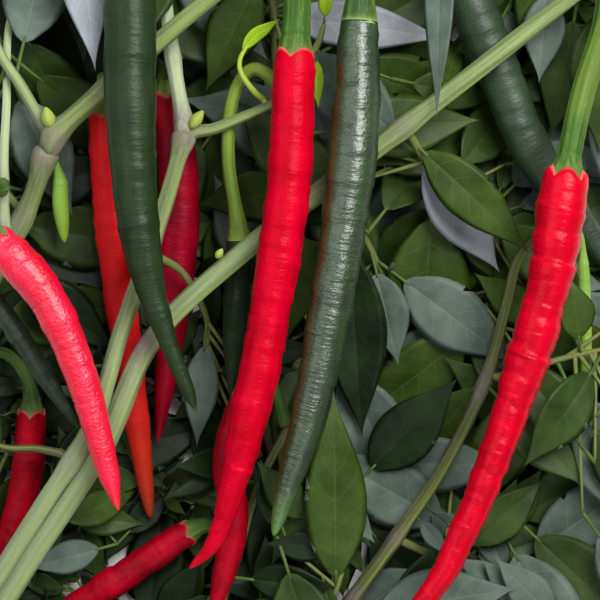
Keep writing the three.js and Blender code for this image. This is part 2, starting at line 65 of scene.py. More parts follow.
# Boughs. Each grows on another, or is cut. radii are at the foot and the tip. look is the bark's, tint the
# strength of the purple at its foot and its knob, and pale the share of the pale colour, which fades out
# over fade. knob is the place of a swelling, as a share of the length.
BOUGHS = {
    "main_stem": dict(
        radii=[4, 2.6], pale=0.35, fade=260,
        route=[[-122, -136, 4.5], [-92, -90, 26], [-64, -47, 41], [-48, -13, 44], [-19, 15, 44],
               [26, 50, 44], [72, 86, 41], [114, 119, 29]]),
    "left_stem": dict(
        on="main_stem", radii=[2.7, 2.7], tint=1.0, pale=0.35, fade=200, knob=1,
        route=[[-113, -104, 20], [-84, -65.5, 36.5], [-67, -38.5, 43], [-58, -10, 43], [-45, 28, 41],
               [-38, 53, 39]]),
    "left_stem_top": dict(
        on="left_stem", radii=[2.5, 1.8], tint=1.0, pale=0.75, knob=0,
        route=[[-38, 59, 39], [-41, 75, 37], [-44, 96, 32], [-47, 118, 22], [-51, 141, 8]]),
    "side_twig": dict(
        on="left_stem", radii=[1.9, 1.3], tint=0.5,
        route=[[-34, 55, 39], [-28, 56, 39], [-18, 60, 40], [-9, 64, 40], [-3, 69, 39], [1, 77, 37]]),
    "left_bough": dict(
        on="main_stem", radii=[3.3, 2.9], tint=0.9, knob=1,
        route=[[-119, -113, 13], [-122, -82, 18], [-120, -47, 19], [-111, -12, 21], [-99, 13, 26],
               [-89, 32, 32], [-83, 48, 39]]),
    "left_bough_top": dict(
        on="left_bough", radii=[3.2, 2.2], tint=0.8, knob=0,
        route=[[-80, 55, 41], [-65, 67, 44], [-44, 85, 47], [-30, 97, 47], [-13, 110, 47], [16, 129, 46],
               [46, 142, 40]]),
    "outer_twig": dict(
        on="left_bough", radii=[1.7, 1.2], pale=0.7,
        route=[[-101, 26, 33], [-97, 46, 37], [-96, 65, 38], [-96, 82, 37], [-95, 92, 36], [-92, 103, 34]]),
    "corner_twig": dict(
        on="left_bough_top", radii=[1.8, 1.3], tint=0.5, pale=0.15,
        route=[[-85, 59, 41], [-91, 70, 42], [-98, 81, 42], [-105, 98, 40], [-112, 128, 34]]),
    "lower_bough": dict(
        on="main_stem", radii=[2.8, 2.4], look="old_stem",
        route=[[-108, -126, 8], [-87, -133, 4], [-58, -135, 3.5], [-24, -131, 3.5], [3, -119, 5],
               [15, -105, 10]]),
    "right_bough": dict(
        on="lower_bough", radii=[2.4, 1.6], look="old_stem", tint=0.9, knob=0.57,
        route=[[19, -99, 13], [32, -80, 18], [47, -57, 22], [61, -28, 26], [68, -3, 28], [73, 15, 29],
               [86, 27, 30]]),
    "inner_twig": dict(
        on="lower_bough", radii=[1.8, 1.3], look="old_stem",
        route=[[-30, -127, 4], [-26, -101, 13], [-20, -82, 19], [-13, -60, 23], [0, -35, 26]]),
    "inner_bough": dict(
        on="lower_bough", radii=[2.8, 2], look="woody_stem",
        route=[[-8, -124, 5], [-2, -112, 8], [2, -101, 10], [-1, -74, 13], [-7, -57, 15], [-11, -43, 17],
               [-12, -30, 18]]),
    "low_twig": dict(
        on="left_stem", radii=[1.4, 1], look="old_stem",
        route=[[-78, -50, 37], [-87, -49, 32], [-97, -49, 28], [-107, -46, 25]]),
}

# Pods, each on a bough. stalk and radius are radii, seam the knot of the route where the pod begins, and
# seam_seen the one where its skin does. blunt and taper shape its end, and widths are factors at shares of
# its length. rough is the depth of its wrinkles, ledges that of its steps. turn and lobes are its calyx's,
# and flare is the length over which that widens. tip is the share of the pod in the tip's colour, mark the
# strength of its dark streak, look its skin, and yellow the calyx's share of that colour.
FRUIT = {
    "centre_red": dict(
        on="left_bough_top", stalk=4.4, radius=7.3, blunt=0.57, taper=0.3, rough=0.9, turn=1.0, lobes=4,
        ledges=0.16,
        widths=[(0.3, 0.98), (0.47, 0.95), (0.65, 1.03), (0.75, 1.03), (0.85, 0.9), (1, 0.94)],
        route=[[0.5, 117.5, 53], [-0.5, 102, 58], [-1.5, 80, 56], [-4, 32, 58], [-10, -6.5, 57],
               [-18, -45, 56], [-26.5, -75.5, 53], [-35.5, -86.5, 51]]),
    "centre_green": dict(
        on="left_bough_top", stalk=4.1, radius=8.1, blunt=0.52, taper=0.2, colour="green", rough=0.9,
        turn=0.3, tip=0.12, mark=0.6, look="green_glossy", calyx="dark_calyx",
        widths=[(0.05, 0.82), (0.15, 0.91), (0.25, 1.0), (0.34, 0.93), (0.63, 0.95), (0.85, 1.03)],
        route=[[21, 128, 53], [20, 110, 58], [19, 89, 56], [17, 48, 58], [11, 5, 57], [4, -32, 55],
               [-3.5, -58, 52], [-8.5, -76, 50]]),
    "left_green": dict(
        on="left_stem_top", stalk=2.8, radius=8, blunt=1, taper=0.2, colour="green", seam=3, rough=0.6,
        turn=0.2, tip=0.02, calyx="dark_calyx",
        widths=[(0.5, 1.04), (0.63, 1.1), (0.74, 1.0), (0.85, 1.02), (0.92, 1.6), (0.97, 2.7)],
        route=[[-49.5, 135.5, 17], [-51.5, 135, 38], [-53.5, 125, 52], [-54, 112, 56], [-54, 60.5, 59],
               [-51, 20.5, 58], [-44.5, -6.5, 57], [-33, -36.5, 54]]),
    "right_red": dict(
        on="main_stem", stalk=3.8, radius=8, blunt=0.5, taper=0.15, seam=3, rough=1.3, turn=0.94, flare=9,
        ledges=0.5, look="ripe_ledged",
        widths=[(0, 1.05), (0.06, 1), (0.16, 0.91), (0.36, 0.9), (0.46, 0.78), (0.57, 0.77), (0.78, 0.84),
                (1, 0.96)],
        route=[[101.5, 107, 42], [98, 88.5, 50], [90.5, 65.5, 55], [85.5, 42, 56], [80.5, 9.5, 56],
               [73.5, -17.5, 54], [63, -49, 53], [47.5, -85.5, 51], [29.5, -110.5, 49]]),
    "left_red": dict(
        on="outer_twig", stalk=2.4, radius=7, blunt=0.7, taper=0.1, seam=3, rough=0.9, turn=0.8, tip=0.1,
        seam_seen=2.8, look="ripe_glossy",
        widths=[(0, 0.86), (0.05, 0.97), (0.12, 0.92), (0.25, 0.87), (0.61, 0.92), (0.79, 1.05),
                (0.9, 1.25)],
        route=[[-98.5, 35.5, 44], [-103, 34.5, 53], [-102.5, 25, 57], [-95.5, 18, 56], [-80.5, 0, 56],
               [-70.5, -24, 54], [-63, -50, 52], [-58.5, -68, 50]]),
    "upper_green": dict(
        on="left_bough_top", stalk=2.6, radius=7.4, blunt=0.6, taper=0.25, colour="green", rough=1.0,
        turn=0.5, tip=0.06, look="green_deep", calyx="dark_calyx",
        route=[[47, 140.5, 34], [49.5, 128.5, 33], [51, 112.5, 33], [63, 82.5, 29], [77, 50, 25],
               [97, 22, 18], [112, 3.5, 12]]),
    "orange_red": dict(
        on="left_bough_top", stalk=2.2, radius=5.4, blunt=0.45, taper=0.3, colour="turning", rough=0.6,
        turn=0.4, tip=0.45,
        route=[[-64.5, 74, 37], [-65, 69, 34], [-65, 63, 30], [-63, 26.5, 26], [-58, -13.5, 22],
               [-50.5, -73.5, 12]]),
    "shaded_red": dict(
        on="left_stem_top", stalk=2.2, radius=6.6, blunt=0.7, taper=0.3, rough=0.6, turn=0.4,
        look="ripe_shaded",
        route=[[-41.5, 79, 32], [-43.5, 76, 28], [-44, 70, 24], [-40, 33.5, 20], [-43, -6.5, 16],
               [-48, -48, 14]]),
    "lower_red": dict(
        on="left_bough", stalk=1.9, radius=5.5, blunt=0.5, taper=0.4, seam=3, rough=0.7, turn=0.3,
        look="ripe_in_painted_shade", calyx="dark_calyx",
        route=[[-106, -18, 20], [-98, -18, 22], [-92, -25, 21], [-90, -36.5, 18], [-93.5, -66, 13],
               [-104.5, -103.5, 9]]),
    "bottom_red": dict(
        on="inner_twig", stalk=2, radius=5, blunt=0.5, taper=0.5, rough=0.9, turn=0.2, look="ripe_in_painted_shade",
        route=[[-22, -86, 17], [-28.5, -76.5, 17], [-36.5, -77.5, 16], [-57.5, -92, 13], [-86.5, -109, 9]]),
    "behind_green": dict(
        on="side_twig", stalk=2.2, radius=4.6, blunt=0.6, taper=0.2, colour="green", seam=4, rough=0.8,
        turn=0.3, yellow=0.3,
        route=[[-8, 72, 38], [-15.5, 75.5, 38], [-22, 66, 36], [-23.5, 46, 34], [-20, 20, 31],
               [-21.5, -3.5, 28], [-22.5, -33.5, 24]]),
    "far_left_green": dict(
        on="outer_twig", stalk=1.8, radius=3.6, blunt=0.6, taper=0.3, colour="green", rough=0.8, turn=0.3,
        tip=0.1, look="green_deep", calyx="dark_calyx",
        route=[[-104.5, 24, 32], [-109, 17, 36], [-104, 5, 36], [-91.5, -13, 35], [-80.5, -30.5, 33],
               [-73, -42.5, 30]]),
    "behind_red": dict(
        on="inner_twig", stalk=1.8, radius=5, blunt=0.5, taper=0.4, seam=3, rough=0.7, turn=0.3,
        look="ripe_in_painted_shade",
        route=[[-4, -41.5, 27], [-9, -28, 31], [-16, -23.5, 33], [-18, -30.5, 32], [-23.5, -53, 30],
               [-22, -76, 28], [-29.5, -106.5, 24]]),
}
FRONT = list(FRUIT)[:5]  # pods with the finest skin

YOUNG = {
    "young_pod_right": dict(
        on="right_bough", stalk=0.9, radius=2, seam=2, blunt=0.6, taper=0.3,
        route=[[88, 26, 30], [92.5, 22, 30], [94, 12, 27], [95, -13.5, 25], [95, -47.5, 22]]),
    "young_pod_left": dict(
        on="left_bough", stalk=1.1, radius=2.8, seam=1, blunt=0.6, taper=0.3,
        route=[[-81, 45, 36], [-79, 39, 33], [-79, 31.5, 31], [-78, 19, 27]]),
}

# Sprays, each a twig on a bough. more is the number of leaves by rule, own the leaves with a place of their
# own, and looks the upper sides. One leaf in turned lies turned over.
SPRAYS = {
    "leaves_top_left": dict(
        on="left_stem_top", seed=11,
        route=[[-50, 128, 16], [-62, 133, 24], [-80, 136, 30], [-102, 138, 22]],
        own=[dict(at=0.45, tip=[-66, 73.5, 49], width=20, petiole=0.06, bow=9, roll=-0.25, look="lilac")]),
    "leaves_top_centre": dict(
        on="left_bough_top", seed=23, looks=["fresh", "mid"], turned=60,
        route=[[-12, 107, 42], [-9, 96, 30], [-8, 74, 18], [-2, 52, 11]],
        own=[dict(at=0.3, tip=[50, 87, 22], width=16, petiole=0.06, bow=3, roll=0.15, look="lilac")]),
    "leaves_top_right": dict(
        on="left_bough_top", seed=37, looks=["mid", "fresh"], turned=7,
        route=[[42, 134, 44], [54, 123, 41], [72, 119, 28], [96, 130, 12]],
        own=[dict(at=0.1, tip=[44, 57.5, 50], width=11, petiole=0.06, bow=6, roll=0.5, look="grey")]),
    "leaves_upper_right": dict(
        on="main_stem", seed=41, looks=["mid", "fresh"], turned=6,
        route=[[37, 52, 40], [42, 45, 34], [52, 36, 24], [66, 30, 12]],
        own=[dict(at=0.08, tip=[76, 15, 33], width=17, petiole=0.06, bow=6, roll=0.2, look="fresh"),
             dict(at=0.15, tip=[67, 9, 19], width=20, petiole=0.06, bow=1, roll=-0.1, look="lilac")]),
    "leaves_right": dict(
        on="right_bough", seed=53, looks=["mid", "fresh"], turned=3,
        route=[[66, -26, 27], [78, -22, 28], [92, -18, 30], [102, -16, 29]],
        own=[dict(at=0.97, tip=[73, -55, 37], width=18, bow=8, roll=-0.35, look="mid"),
             dict(at=0.75, tip=[88, 8, 38], width=13, bow=3, roll=0.3, look="fresh")]),
    "leaves_centre": dict(
        on="main_stem", seed=61, looks=["dark", "mid"], turned=11,
        route=[[13, 35, 41], [17, 28, 34], [25, 14, 22], [34, -6, 12]],
        own=[dict(at=0.1, tip=[21, -47, 12], width=22, bow=2, roll=0.1, look="dark"),
             dict(at=0.5, tip=[33, -22, 20], width=16, bow=2, roll=0.2, look="grey")]),
    "leaves_lower_centre": dict(
        on="lower_bough", seed=73, more=6, looks=["dark", "mid"],
        route=[[5, -112, 9], [8, -106, 15], [12, -97, 20], [16, -84, 23]],
        own=[dict(at=0.6, tip=[11, -29, 33], width=21, petiole=0.06, bow=5, roll=0.1, look="fresh")]),
    "leaves_inner": dict(
        on="inner_twig", seed=79, more=7, looks=["dark", "mid"],
        route=[[3, -29, 27], [6, -22, 24], [8, -12, 16], [6, 0, 8]]),
    "leaves_lower_right": dict(
        on="right_bough", seed=83, looks=["grey", "mid"],
        route=[[36, -82, 17], [48, -87, 13], [64, -90, 8], [84, -88, 5]],
        own=[dict(at=0.35, tip=[82, -60, 16], width=15, bow=3, roll=0, look="mid")]),
    # The low sprays at the back are given mostly the dark look: painted shade for the deep shade under the
    # branch
    "leaves_lower_left": dict(
        on="lower_bough", seed=97, looks=["dark", "mid"], turned=60,
        route=[[-57, -129, 5], [-55, -121, 6], [-47, -112, 4], [-44, -100, 3]]),
    "leaves_left": dict(
        on="left_bough", seed=101, looks=["dark", "mid"], turned=60,
        route=[[-116, -48, 20], [-109, -50, 12], [-92, -51, 5], [-76, -51, 4]]),
    "leaves_middle_left": dict(
        on="left_stem", seed=113, looks=["dark"], turned=60,
        route=[[-46, 14, 38], [-38, 8, 30], [-31, -8, 18], [-33, -26, 8]],
        own=[dict(at=0.6, tip=[-35, -50, 10], width=12, bow=2, roll=0, look="grey")]),
    "leaves_upper_left": dict(
        on="left_bough", seed=127, turned=7,
        route=[[-92, 29, 29], [-98, 36, 24], [-107, 46, 14], [-113, 62, 6]],
        own=[dict(at=0.1, tip=[-119, 16, 24], width=13, bow=2, roll=0.2, look="grey")]),
    "leaves_far_corner": dict(
        on="corner_twig", seed=131,
        route=[[-112, 132, 32], [-109, 138, 24], [-102, 138, 14], [-98, 126, 6]]),
    "leaves_outer": dict(
        on="outer_twig", seed=139,
        route=[[-91, 107, 32], [-89, 112, 27], [-86, 116, 19], [-84, 122, 10]]),
    "leaves_stem_tip": dict(
        on="main_stem", seed=149,
        route=[[116, 122, 28], [117, 130, 22], [110, 136, 13], [100, 136, 5]]),
    "leaves_side": dict(
        on="side_twig", seed=157, more=0,
        route=[[3, 80, 36], [6, 84, 37], [8, 91, 39]],
        own=[dict(at=0.3, tip=[6, 62, 42], width=5, bow=1, roll=0.4, look="young"),
             dict(at=0.9, tip=[9, 103, 45], width=5, bow=1, roll=-0.4, look="young")]),
}

# What an entry has unless it says otherwise
USUAL = (
    (BOUGHS, {"look": "stem", "tint": 0.35, "pale": 0}),
    (FRUIT, {"colour": "ripe", "seam": 2, "tip": 0.05, "ledges": 0.1, "lobes": 5, "flare": 14.4, "mark": 0,
             "yellow": 0, "calyx": "calyx", "widths": [(0, 1)]}),
    (SPRAYS, {"more": 9, "own": [], "looks": ["mid", "dark"], "turned": 9}),
)
for table, usual in USUAL:
    for entry in table.values():
        entry.update({**usual, **entry})

LEAF = {"length": 62, "share": 0.38, "petiole": 0.2, "fold": 0.16, "bow": 1.5}
LEVELS = [0.9, 4, 7, 10, 13, 16, 19, 22]  # heights that a leaf's tip may lie at
TRIES = 6  # headings tried for each leaf
CELL = 2  # side of the cells that keep the leaves apart
CLEAR = 1.7  # height kept free over and under a leaf
# Height up to which no leaf by rule passes over a pod, a leaf with a place of its own or a bough in OPEN
SKY = 70
OPEN = ["right_bough"]
REACH = {"x": 122, "y": 142, "low": 0.7}
TWIG = {"foot": 1.4, "tip": 0.8}
POD_SHAPE, YOUNG_SHAPE = (0.86, 0), (0.9, 0.4)  # the stalk's end as a share of the pod, and the least radius
HALF_LEAF = 0.6  # half the height that a blade takes in a cell
FLARE = 9  # length over which a stalk widens to its calyx
DIVISIONS = 400  # samples of a route's table of lengths

# Side twigs of a spray: their number, the headings tried for each, length and radii
SIDE = {"twigs": 14, "headings": 12, "length": 40, "foot": 0.8, "tip": 0.45}
# Finer leaves: heights of their tips, height and width kept free, distance between the places where they
# grow, the most at one place, and for each try the sizes, the number of places, the parts of the leaf that
# pass over the gap, and its width as a share of its length
FINE = {
    "levels": np.arange(1.0, 31.0, 1.5), "clear": 0.45, "beside": 1.4, "spacing": 5, "most": 3,
    "tries": [
        ((46, 80), 16, (0.45, 0.65, 0.8), 0.38), ((26, 60), 22, (0.45, 0.6, 0.78, 0.9), 0.38),
        ((20, 70), 26, (0.4, 0.55, 0.7, 0.85), 0.26), ((12, 34), 14, (0.5, 0.7, 0.85), 0.34),
    ],
}
# The last gaps: higher leaves, more at one place, and small ones
LAST = {
    "levels": np.arange(1.0, 43.0, 1.5), "most": 5,
    "tries": FINE["tries"] + [((8, 30), 20, (0.4, 0.6, 0.8), 0.3)],
}
NEAREST = 6  # a leaf's root is further than this from the gap that it covers
PATCH = 6  # side of the patches of spots that are looked at together
BESIDE = 2  # how far round a gap that no leaf can cover the spots are given up
ROOM_STEP = 0.5  # height of a box of the room, whose floor is a cell
ROOM_LOW = np.array([-64, -74, 0])
ROOM_SIZE = np.array([128, 148, 132])
LIMB, SIDE_TWIG, BLADE = 1, 2, 3  # what can fill a box
SPOT = 1  # side of the spots that the floor is divided into
SHADE_SIZE = 150  # spots from the middle to each side
EDGE = 0.5  # how far inside a leaf's outline a spot has to lie to be hidden
SIGHT = 0.993  # how far in a sight line passes at the height of the lower leaves
# How far out the gaps are looked for: all over the branch, in the picture, and last
ALL_ROUND, IN_VIEW, LAST_VIEW = (118, 138), (106, 106), (102, 102)

# The young leaf that curls up beside the centre pod's stalk: its stalk and its blade
CURL = {"on": "side_twig", "petiole": 1.1, "width": 5}
CURL_POINTS = [[-11, 63.5, 40], [-15, 68, 42], [-19, 73.5, 43], [-19.5, 78, 44], [-17, 83, 44.5]]
CURL_BLADE = [[-19.6, 77, 43.8], [-18.5, 81, 44.6], [-15, 85.5, 45.5], [-10.5, 88.5, 46], [-6, 91.5, 46]]

# Stems: ribs, groove and swellings, as shares of the radius
RIB_COUNT = 6
RIB, GROOVE, GROOVE_AT = 0.045, 0.075, 1.9
SWELL = {"fork": 0.22, "foot": 0.18, "knob": 0.16, "pair": 0.17}
FORK_TINT = 0.45  # strength of the purple round a fork
STEM_SIDES, STEM_STEP = 36, 2.2  # sides of a ring, and the distance from one to the next
PAIRED = 95  # length over which the left stem lies against the main stem
PRESSED = np.array([0.7, -0.5, 0])  # how far it leans on the main stem there
# Purple-grey scars: bough, place, size and strength
SCARS = [
    ("main_stem", [-54, -12, 46], 6.5, 2.0), ("main_stem", [-59, -25, 45], 5, 0.9),
    ("main_stem", [-28, 14, 47], 3, 0.8), ("left_stem", [-57, -2, 46], 3.5, 0.4),
]
# Side buds: bough, foot, tip and radius
BUDS = [
    ("left_stem", [-36, 56, 41], [-31.5, 61.5, 43], 1.9),
    ("left_bough", [-81, 56, 44], [-82.5, 62.5, 46], 2.1),
    ("main_stem", [-27, 13.5, 48.5], [-25, 16.5, 50], 1.2),
    ("left_bough_top", [-26, 101, 50.5], [-22, 105, 51], 1.1),
]

LOBE = 0.52  # height of a ripe pod's lobes, as a share of its radius
FRONT_POD, OTHER_POD = (360, 48), (170, 32)  # rows and sides
FRONT_CALYX, OTHER_CALYX = (0.6, 60), (1.2, 36)  # distance between rows, and sides

# Leaves
VEINS = 6  # side veins in each half
VEIN_WIDTH = 0.0055  # of the blade's length
FIRST_VEIN, VEINED = 0.06, 0.84  # where the veins begin, and the share of the blade that they fill
COLUMNS = [0, 0.03, 0.28, 0.52, 0.76, 1]  # across half a blade, the first to the rib's edge
THICK = 0.28
LEAST_TWIG = 3  # length from which a side twig is drawn
UNDERSIDES = {"grey": "dark", "lilac": "dark", "young": "young"}  # of upper sides; others have a grey one

# Colours, as bytes
PURPLE = (114, 97, 105)
YELLOW = (152, 168, 66)
RIM = (226, 120, 100)
FLOOR = [(0.3, (214, 215, 212)), (0.7, (222, 223, 220))]
# Dark, plain and light streaks, and pale flecks
STEM_COLOURS = {
    "stem": ((94, 108, 66), (108, 123, 76), (122, 138, 88), (172, 184, 152)),
    "old_stem": ((52, 56, 34), (74, 80, 46), (94, 100, 60), (112, 116, 88)),
    "woody_stem": ((40, 38, 32), (60, 56, 48), (78, 74, 64), (92, 88, 80)),
    "calyx": ((38, 66, 20), (56, 88, 30), (74, 106, 40), (136, 158, 84)),
    "dark_calyx": ((32, 54, 24), (46, 74, 32), (60, 90, 40), (140, 164, 92)),
}
# Deep and plain skin, tip and mark, then roughness, mirror, coat, pebbles and relief
POD_COLOURS = {
    "ripe": ("ripe_pod", (154, 0, 20), (186, 0, 32), (196, 14, 24), (150, 4, 20),
             0.32, 0.05, 0.0, 0.6, 0.7),
    "ripe_ledged": ("ledged_ripe_pod", (158, 0, 20), (188, 0, 30), (196, 14, 24), (150, 4, 20),
                    0.24, 0.1, 0.02, 0.6, 0.7),
    "ripe_glossy": ("glossy_ripe_pod", (200, 0, 36), (232, 4, 56), (222, 26, 26), (150, 4, 20),
                    0.38, 0.5, 0.25, 2.6, 0.5),
    # The ripe red darkened for the pods at the back: painted shade for the shade they lie in
    "ripe_in_painted_shade": ("ripe_pod_painted_shade", (112, 0, 14), (166, 0, 28), (172, 8, 22), (110, 4, 20),
                  0.45, 0.1, 0.0, 0.8, 0.5),
    "green": ("green_pod", (20, 37, 18), (34, 50, 25), (66, 94, 36), (92, 44, 22),
              0.4, 0.16, 0.03, 0.5, 0.7),
    "green_deep": ("deep_green_pod", (24, 40, 24), (38, 58, 34), (60, 90, 36), (92, 44, 22),
                   0.5, 0.5, 0.0, 0.5, 0.7),
    "green_glossy": ("glossy_green_pod", (22, 38, 18), (36, 58, 26), (76, 116, 38), (58, 34, 20),
                     0.34, 0.85, 0.2, 0.4, 1.3),
    "ripe_shaded": ("shaded_ripe_pod", (84, 0, 14), (136, 0, 26), (150, 8, 22), (90, 4, 20),
                    0.45, 0.1, 0.0, 0.8, 0.5),
    "turning": ("turning_pod", (188, 16, 24), (212, 26, 30), (132, 46, 18), (120, 70, 20),
                0.45, 0.1, 0.0, 0.8, 0.5),
    "young": ("young_pod", (92, 128, 50), (116, 152, 62), (140, 176, 60), (120, 150, 60),
              0.4, 0.3, 0.0, 0.5, 0.5),
}
# Deep and plain colour and roughness, of the blade and of its veins
LEAF_COLOURS = {
    # dark: partly the leaves' own dark green, partly painted shade, near-black to stand for the deep shade
    # among the low leaves at the back
    "dark": ((12, 22, 10), (28, 44, 20), 0.42, (22, 34, 16), (34, 50, 26), 0.5),
    "mid": ((30, 47, 16), (53, 71, 28), 0.42, (40, 57, 24), (56, 73, 34), 0.5),
    "fresh": ((37, 54, 14), (58, 77, 27), 0.42, (50, 69, 25), (64, 84, 36), 0.5),
    # grey: partly the undersides' own grey-green, partly painted shade, the lilac underside dimmed for
    # leaves in shade
    "grey": ((62, 76, 66), (92, 104, 96), 0.6, (76, 90, 76), (98, 110, 98), 0.6),
    "lilac": ((116, 122, 126), (146, 150, 158), 0.6, (132, 140, 138), (152, 158, 160), 0.6),
    "young": ((112, 148, 20), (146, 180, 36), 0.4, (140, 172, 50), (164, 192, 70), 0.5),
}
PETIOLE_COLOUR = ((54, 74, 30), (84, 106, 48), 0.5)


# Routes

class Route:
    """A smooth curve through points: its length, and the frame at distances from its start."""

    def __init__(self, points):
        knots = np.array(points, float)
        self.last = len(knots) - 1
        self.knots = np.vstack([2 * knots[0] - knots[1], knots, 2 * knots[-1] - knots[-2]])
        samples = self.place(np.linspace(0, 1, DIVISIONS + 1))
        steps = np.linalg.norm(np.diff(samples, axis=0), axis=1)
        self.table = np.concatenate([[0], np.cumsum(steps)])
        self.length = self.table[-1]
        self.root = None  # the point inside its bough that it grows from

    def place(self, t):
        at = np.atleast_1d(t) * self.last
        i = np.minimum(np.floor(at).astype(int), self.last - 1)
        w = (at - i)[:, None]
        a, b, c, d = (self.knots[i + k] for k in range(4))
        start, end = 0.5 * (c - a), 0.5 * (d - b)
        return b + start * w + (3 * (c - b) - 2 * start - end) * w**2 + (2 * (b - c) + start + end) * w**3

    def reach(self, knot):
        return self.table[int(round(knot / self.last * DIVISIONS))]

    def at(self, distance):
        """Point, along, side and up, each an array with a row for each distance."""
        t = np.interp(distance, self.table, np.linspace(0, 1, DIVISIONS + 1))
        along = unit(self.place(np.minimum(1, t + 1e-4)) - self.place(np.maximum(0, t - 1e-4)))
        side = unit(np.cross(along, UP))
        return self.place(t), along, side, np.cross(side, along)

    def nearest(self, target):
        distances = np.linspace(0, self.length, 201)
        away = np.linalg.norm(self.at(distances)[0] - target, axis=1)
        return distances[int(np.argmin(away))]


def unit(vectors):
    return vectors / np.linalg.norm(vectors, axis=-1, keepdims=True)


def seated(points, source, radius):
    """The route with its first point moved so that a round end of that radius lies GAP from its bough."""
    bough = boughs[source]
    hint = np.array(points[0], float)
    distance = bough["route"].nearest(hint)
    axis = bough["route"].at(distance)[0][0]
    start = axis + unit(hint - axis) * (bough["radius"](distance) + GAP + radius)
    bough["forks"].append(distance)
    route = Route([start.tolist()] + points[1:])
    route.root = axis
    return route


# Seeded noise

def lattice(seed, i, j):
    value = np.sin(i * 127.1 + j * 311.7 + seed * 74.7) * 43758.5453
    return value - np.floor(value)


def noise(seed, x, y, wrap=1e6):
    """Smooth noise from -1 to 1. x repeats after wrap cells."""
    i, j = np.floor(x), np.floor(y)
    u, v = x - i, y - j
    u, v = u * u * (3 - 2 * u), v * v * (3 - 2 * v)
    a, b = i % wrap, (i + 1) % wrap
    low = lattice(seed, a, j) * (1 - u) + lattice(seed, b, j) * u
    high = lattice(seed, a, j + 1) * (1 - u) + lattice(seed, b, j + 1) * u
    return 2 * (low * (1 - v) + high * v) - 1


def seeded(seed):
    """Numbers between 0 and 1 from a seed, the source's own rule."""
    state = seed

    def draw():
        nonlocal state
        state = (state * 1664525 + 1013904223) % 4294967296
        return state / 4294967296

    return draw


# Meshes

class Skin:
    """Closed bodies made of rings of points, gathered into one mesh."""

    def __init__(self):
        self.points, self.grain, self.tone = [], [], []
        self.quads, self.quad_looks, self.tris, self.tri_looks = [], [], [], []
        self.count = 0

    def add(self, rings, grain=None, tone=None, looks=0):
        """rings is (rows, n, 3). Each end is closed by a point at the middle of its ring.
        grain is the place on the unrolled surface, tone three shares for the material, each like rings."""
        rows, n, _ = rings.shape
        grain = rings if grain is None else grain
        tone = np.zeros_like(rings) if tone is None else np.broadcast_to(tone, rings.shape)
        for store, values in ((self.points, rings), (self.grain, grain), (self.tone, tone)):
            store.append(values.reshape(-1, 3))
            store.append(values[[0, -1]].mean(axis=1))
        index = self.count + np.arange(rows * n).reshape(rows, n)
        following = np.roll(index, -1, axis=1)
        quads = np.stack([index[:-1], index[1:], following[1:], following[:-1]], axis=-1)
        looks = np.broadcast_to(looks, (rows - 1, n))
        self.quads.append(quads.reshape(-1, 4))
        self.quad_looks.append(looks.ravel())
        first, last = self.count + rows * n, self.count + rows * n + 1
        start = np.stack([np.full(n, first), index[0], following[0]], axis=-1)
        end = np.stack([np.full(n, last), following[-1], index[-1]], axis=-1)
        self.tris.append(np.concatenate([start, end]))
        self.tri_looks.append(np.concatenate([looks[0], looks[-1]]))
        self.count += rows * n + 2

    def build(self, name, materials, replaced):
        """The mesh as a piece of the scene that takes the place of the replaced nodes."""
        points = (np.concatenate(self.points) - MIDDLE) * MM
        quads, tris = np.concatenate(self.quads), np.concatenate(self.tris)
        mesh = bpy.data.meshes.new(name)
        mesh.vertices.add(len(points))
        mesh.vertices.foreach_set("co", points.astype(np.float32).ravel())
        mesh.loops.add(quads.size + tris.size)
        mesh.polygons.add(len(quads) + len(tris))
        starts = np.concatenate([np.arange(len(quads)) * 4, quads.size + np.arange(len(tris)) * 3])
        mesh.polygons.foreach_set("loop_start", starts.astype(np.int32))
        corners = np.concatenate([quads.ravel(), tris.ravel()])
        mesh.polygons.foreach_set("vertices", corners.astype(np.int32))
        looks = np.concatenate(self.quad_looks + self.tri_looks)
        mesh.polygons.foreach_set("material_index", looks.astype(np.int32))
        mesh.polygons.foreach_set("use_smooth", np.ones(len(looks), bool))
        for key, values in (("grain", self.grain), ("tone", self.tone)):
            attribute = mesh.attributes.new(key, "FLOAT_VECTOR", "POINT")
            attribute.data.foreach_set("vector", np.concatenate(values).astype(np.float32).ravel())
        for material in materials:
            mesh.materials.append(material)
        mesh.update(calc_edges=True)
        mesh.validate()
        piece = bpy.data.objects.new(name, mesh)
        bpy.context.scene.collection.objects.link(piece)
        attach(piece, "root")
        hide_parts(*replaced)


def ring_points(route, distance, angle, radius):
    """Points at radius round a route, as arrays of (rows, n). Before its start it runs on into what it
    grows from, and past its end straight on."""
    inside = np.clip(distance, 0, route.length)
    point, along, side, up = (a.reshape(distance.shape + (3,)) for a in route.at(inside.ravel()))
    back = route.at(0.0)[1][0]
    if route.root is not None:
        back = unit(route.at(0.0)[0][0] - route.root)
    before, after = np.minimum(0, distance), np.maximum(0, distance - route.length)
    point = point + back * before[..., None] + along * after[..., None]
    return point + side * (radius * np.cos(angle))[..., None] + up * (radius * np.sin(angle))[..., None]


def grid(distances, sides):
    """The distances and the angles of rings, as arrays of (rows, sides)."""
    return np.meshgrid(distances, np.linspace(0, 2 * math.pi, sides, endpoint=False), indexing="ij")


def sunk(route):
    """How far before its start a limb begins, inside what it grows from."""
    return -0.85 * float(np.linalg.norm(route.at(0.0)[0][0] - route.root))


def grain_of(distance, angle, radius):
    return np.stack([radius * np.cos(angle), radius * np.sin(angle), distance], axis=-1)


def bump_at(distance, centre, width):
    return np.exp(-(((distance - centre) / width) ** 2))


# Materials

def linear(colour):
    """A colour given by its bytes, as the linear numbers that a shader takes."""
    shares = [byte / 255 for byte in colour]
    return tuple(c / 12.92 if c <= 0.04045 else ((c + 0.055) / 1.055) ** 2.4 for c in shares) + (1.0,)


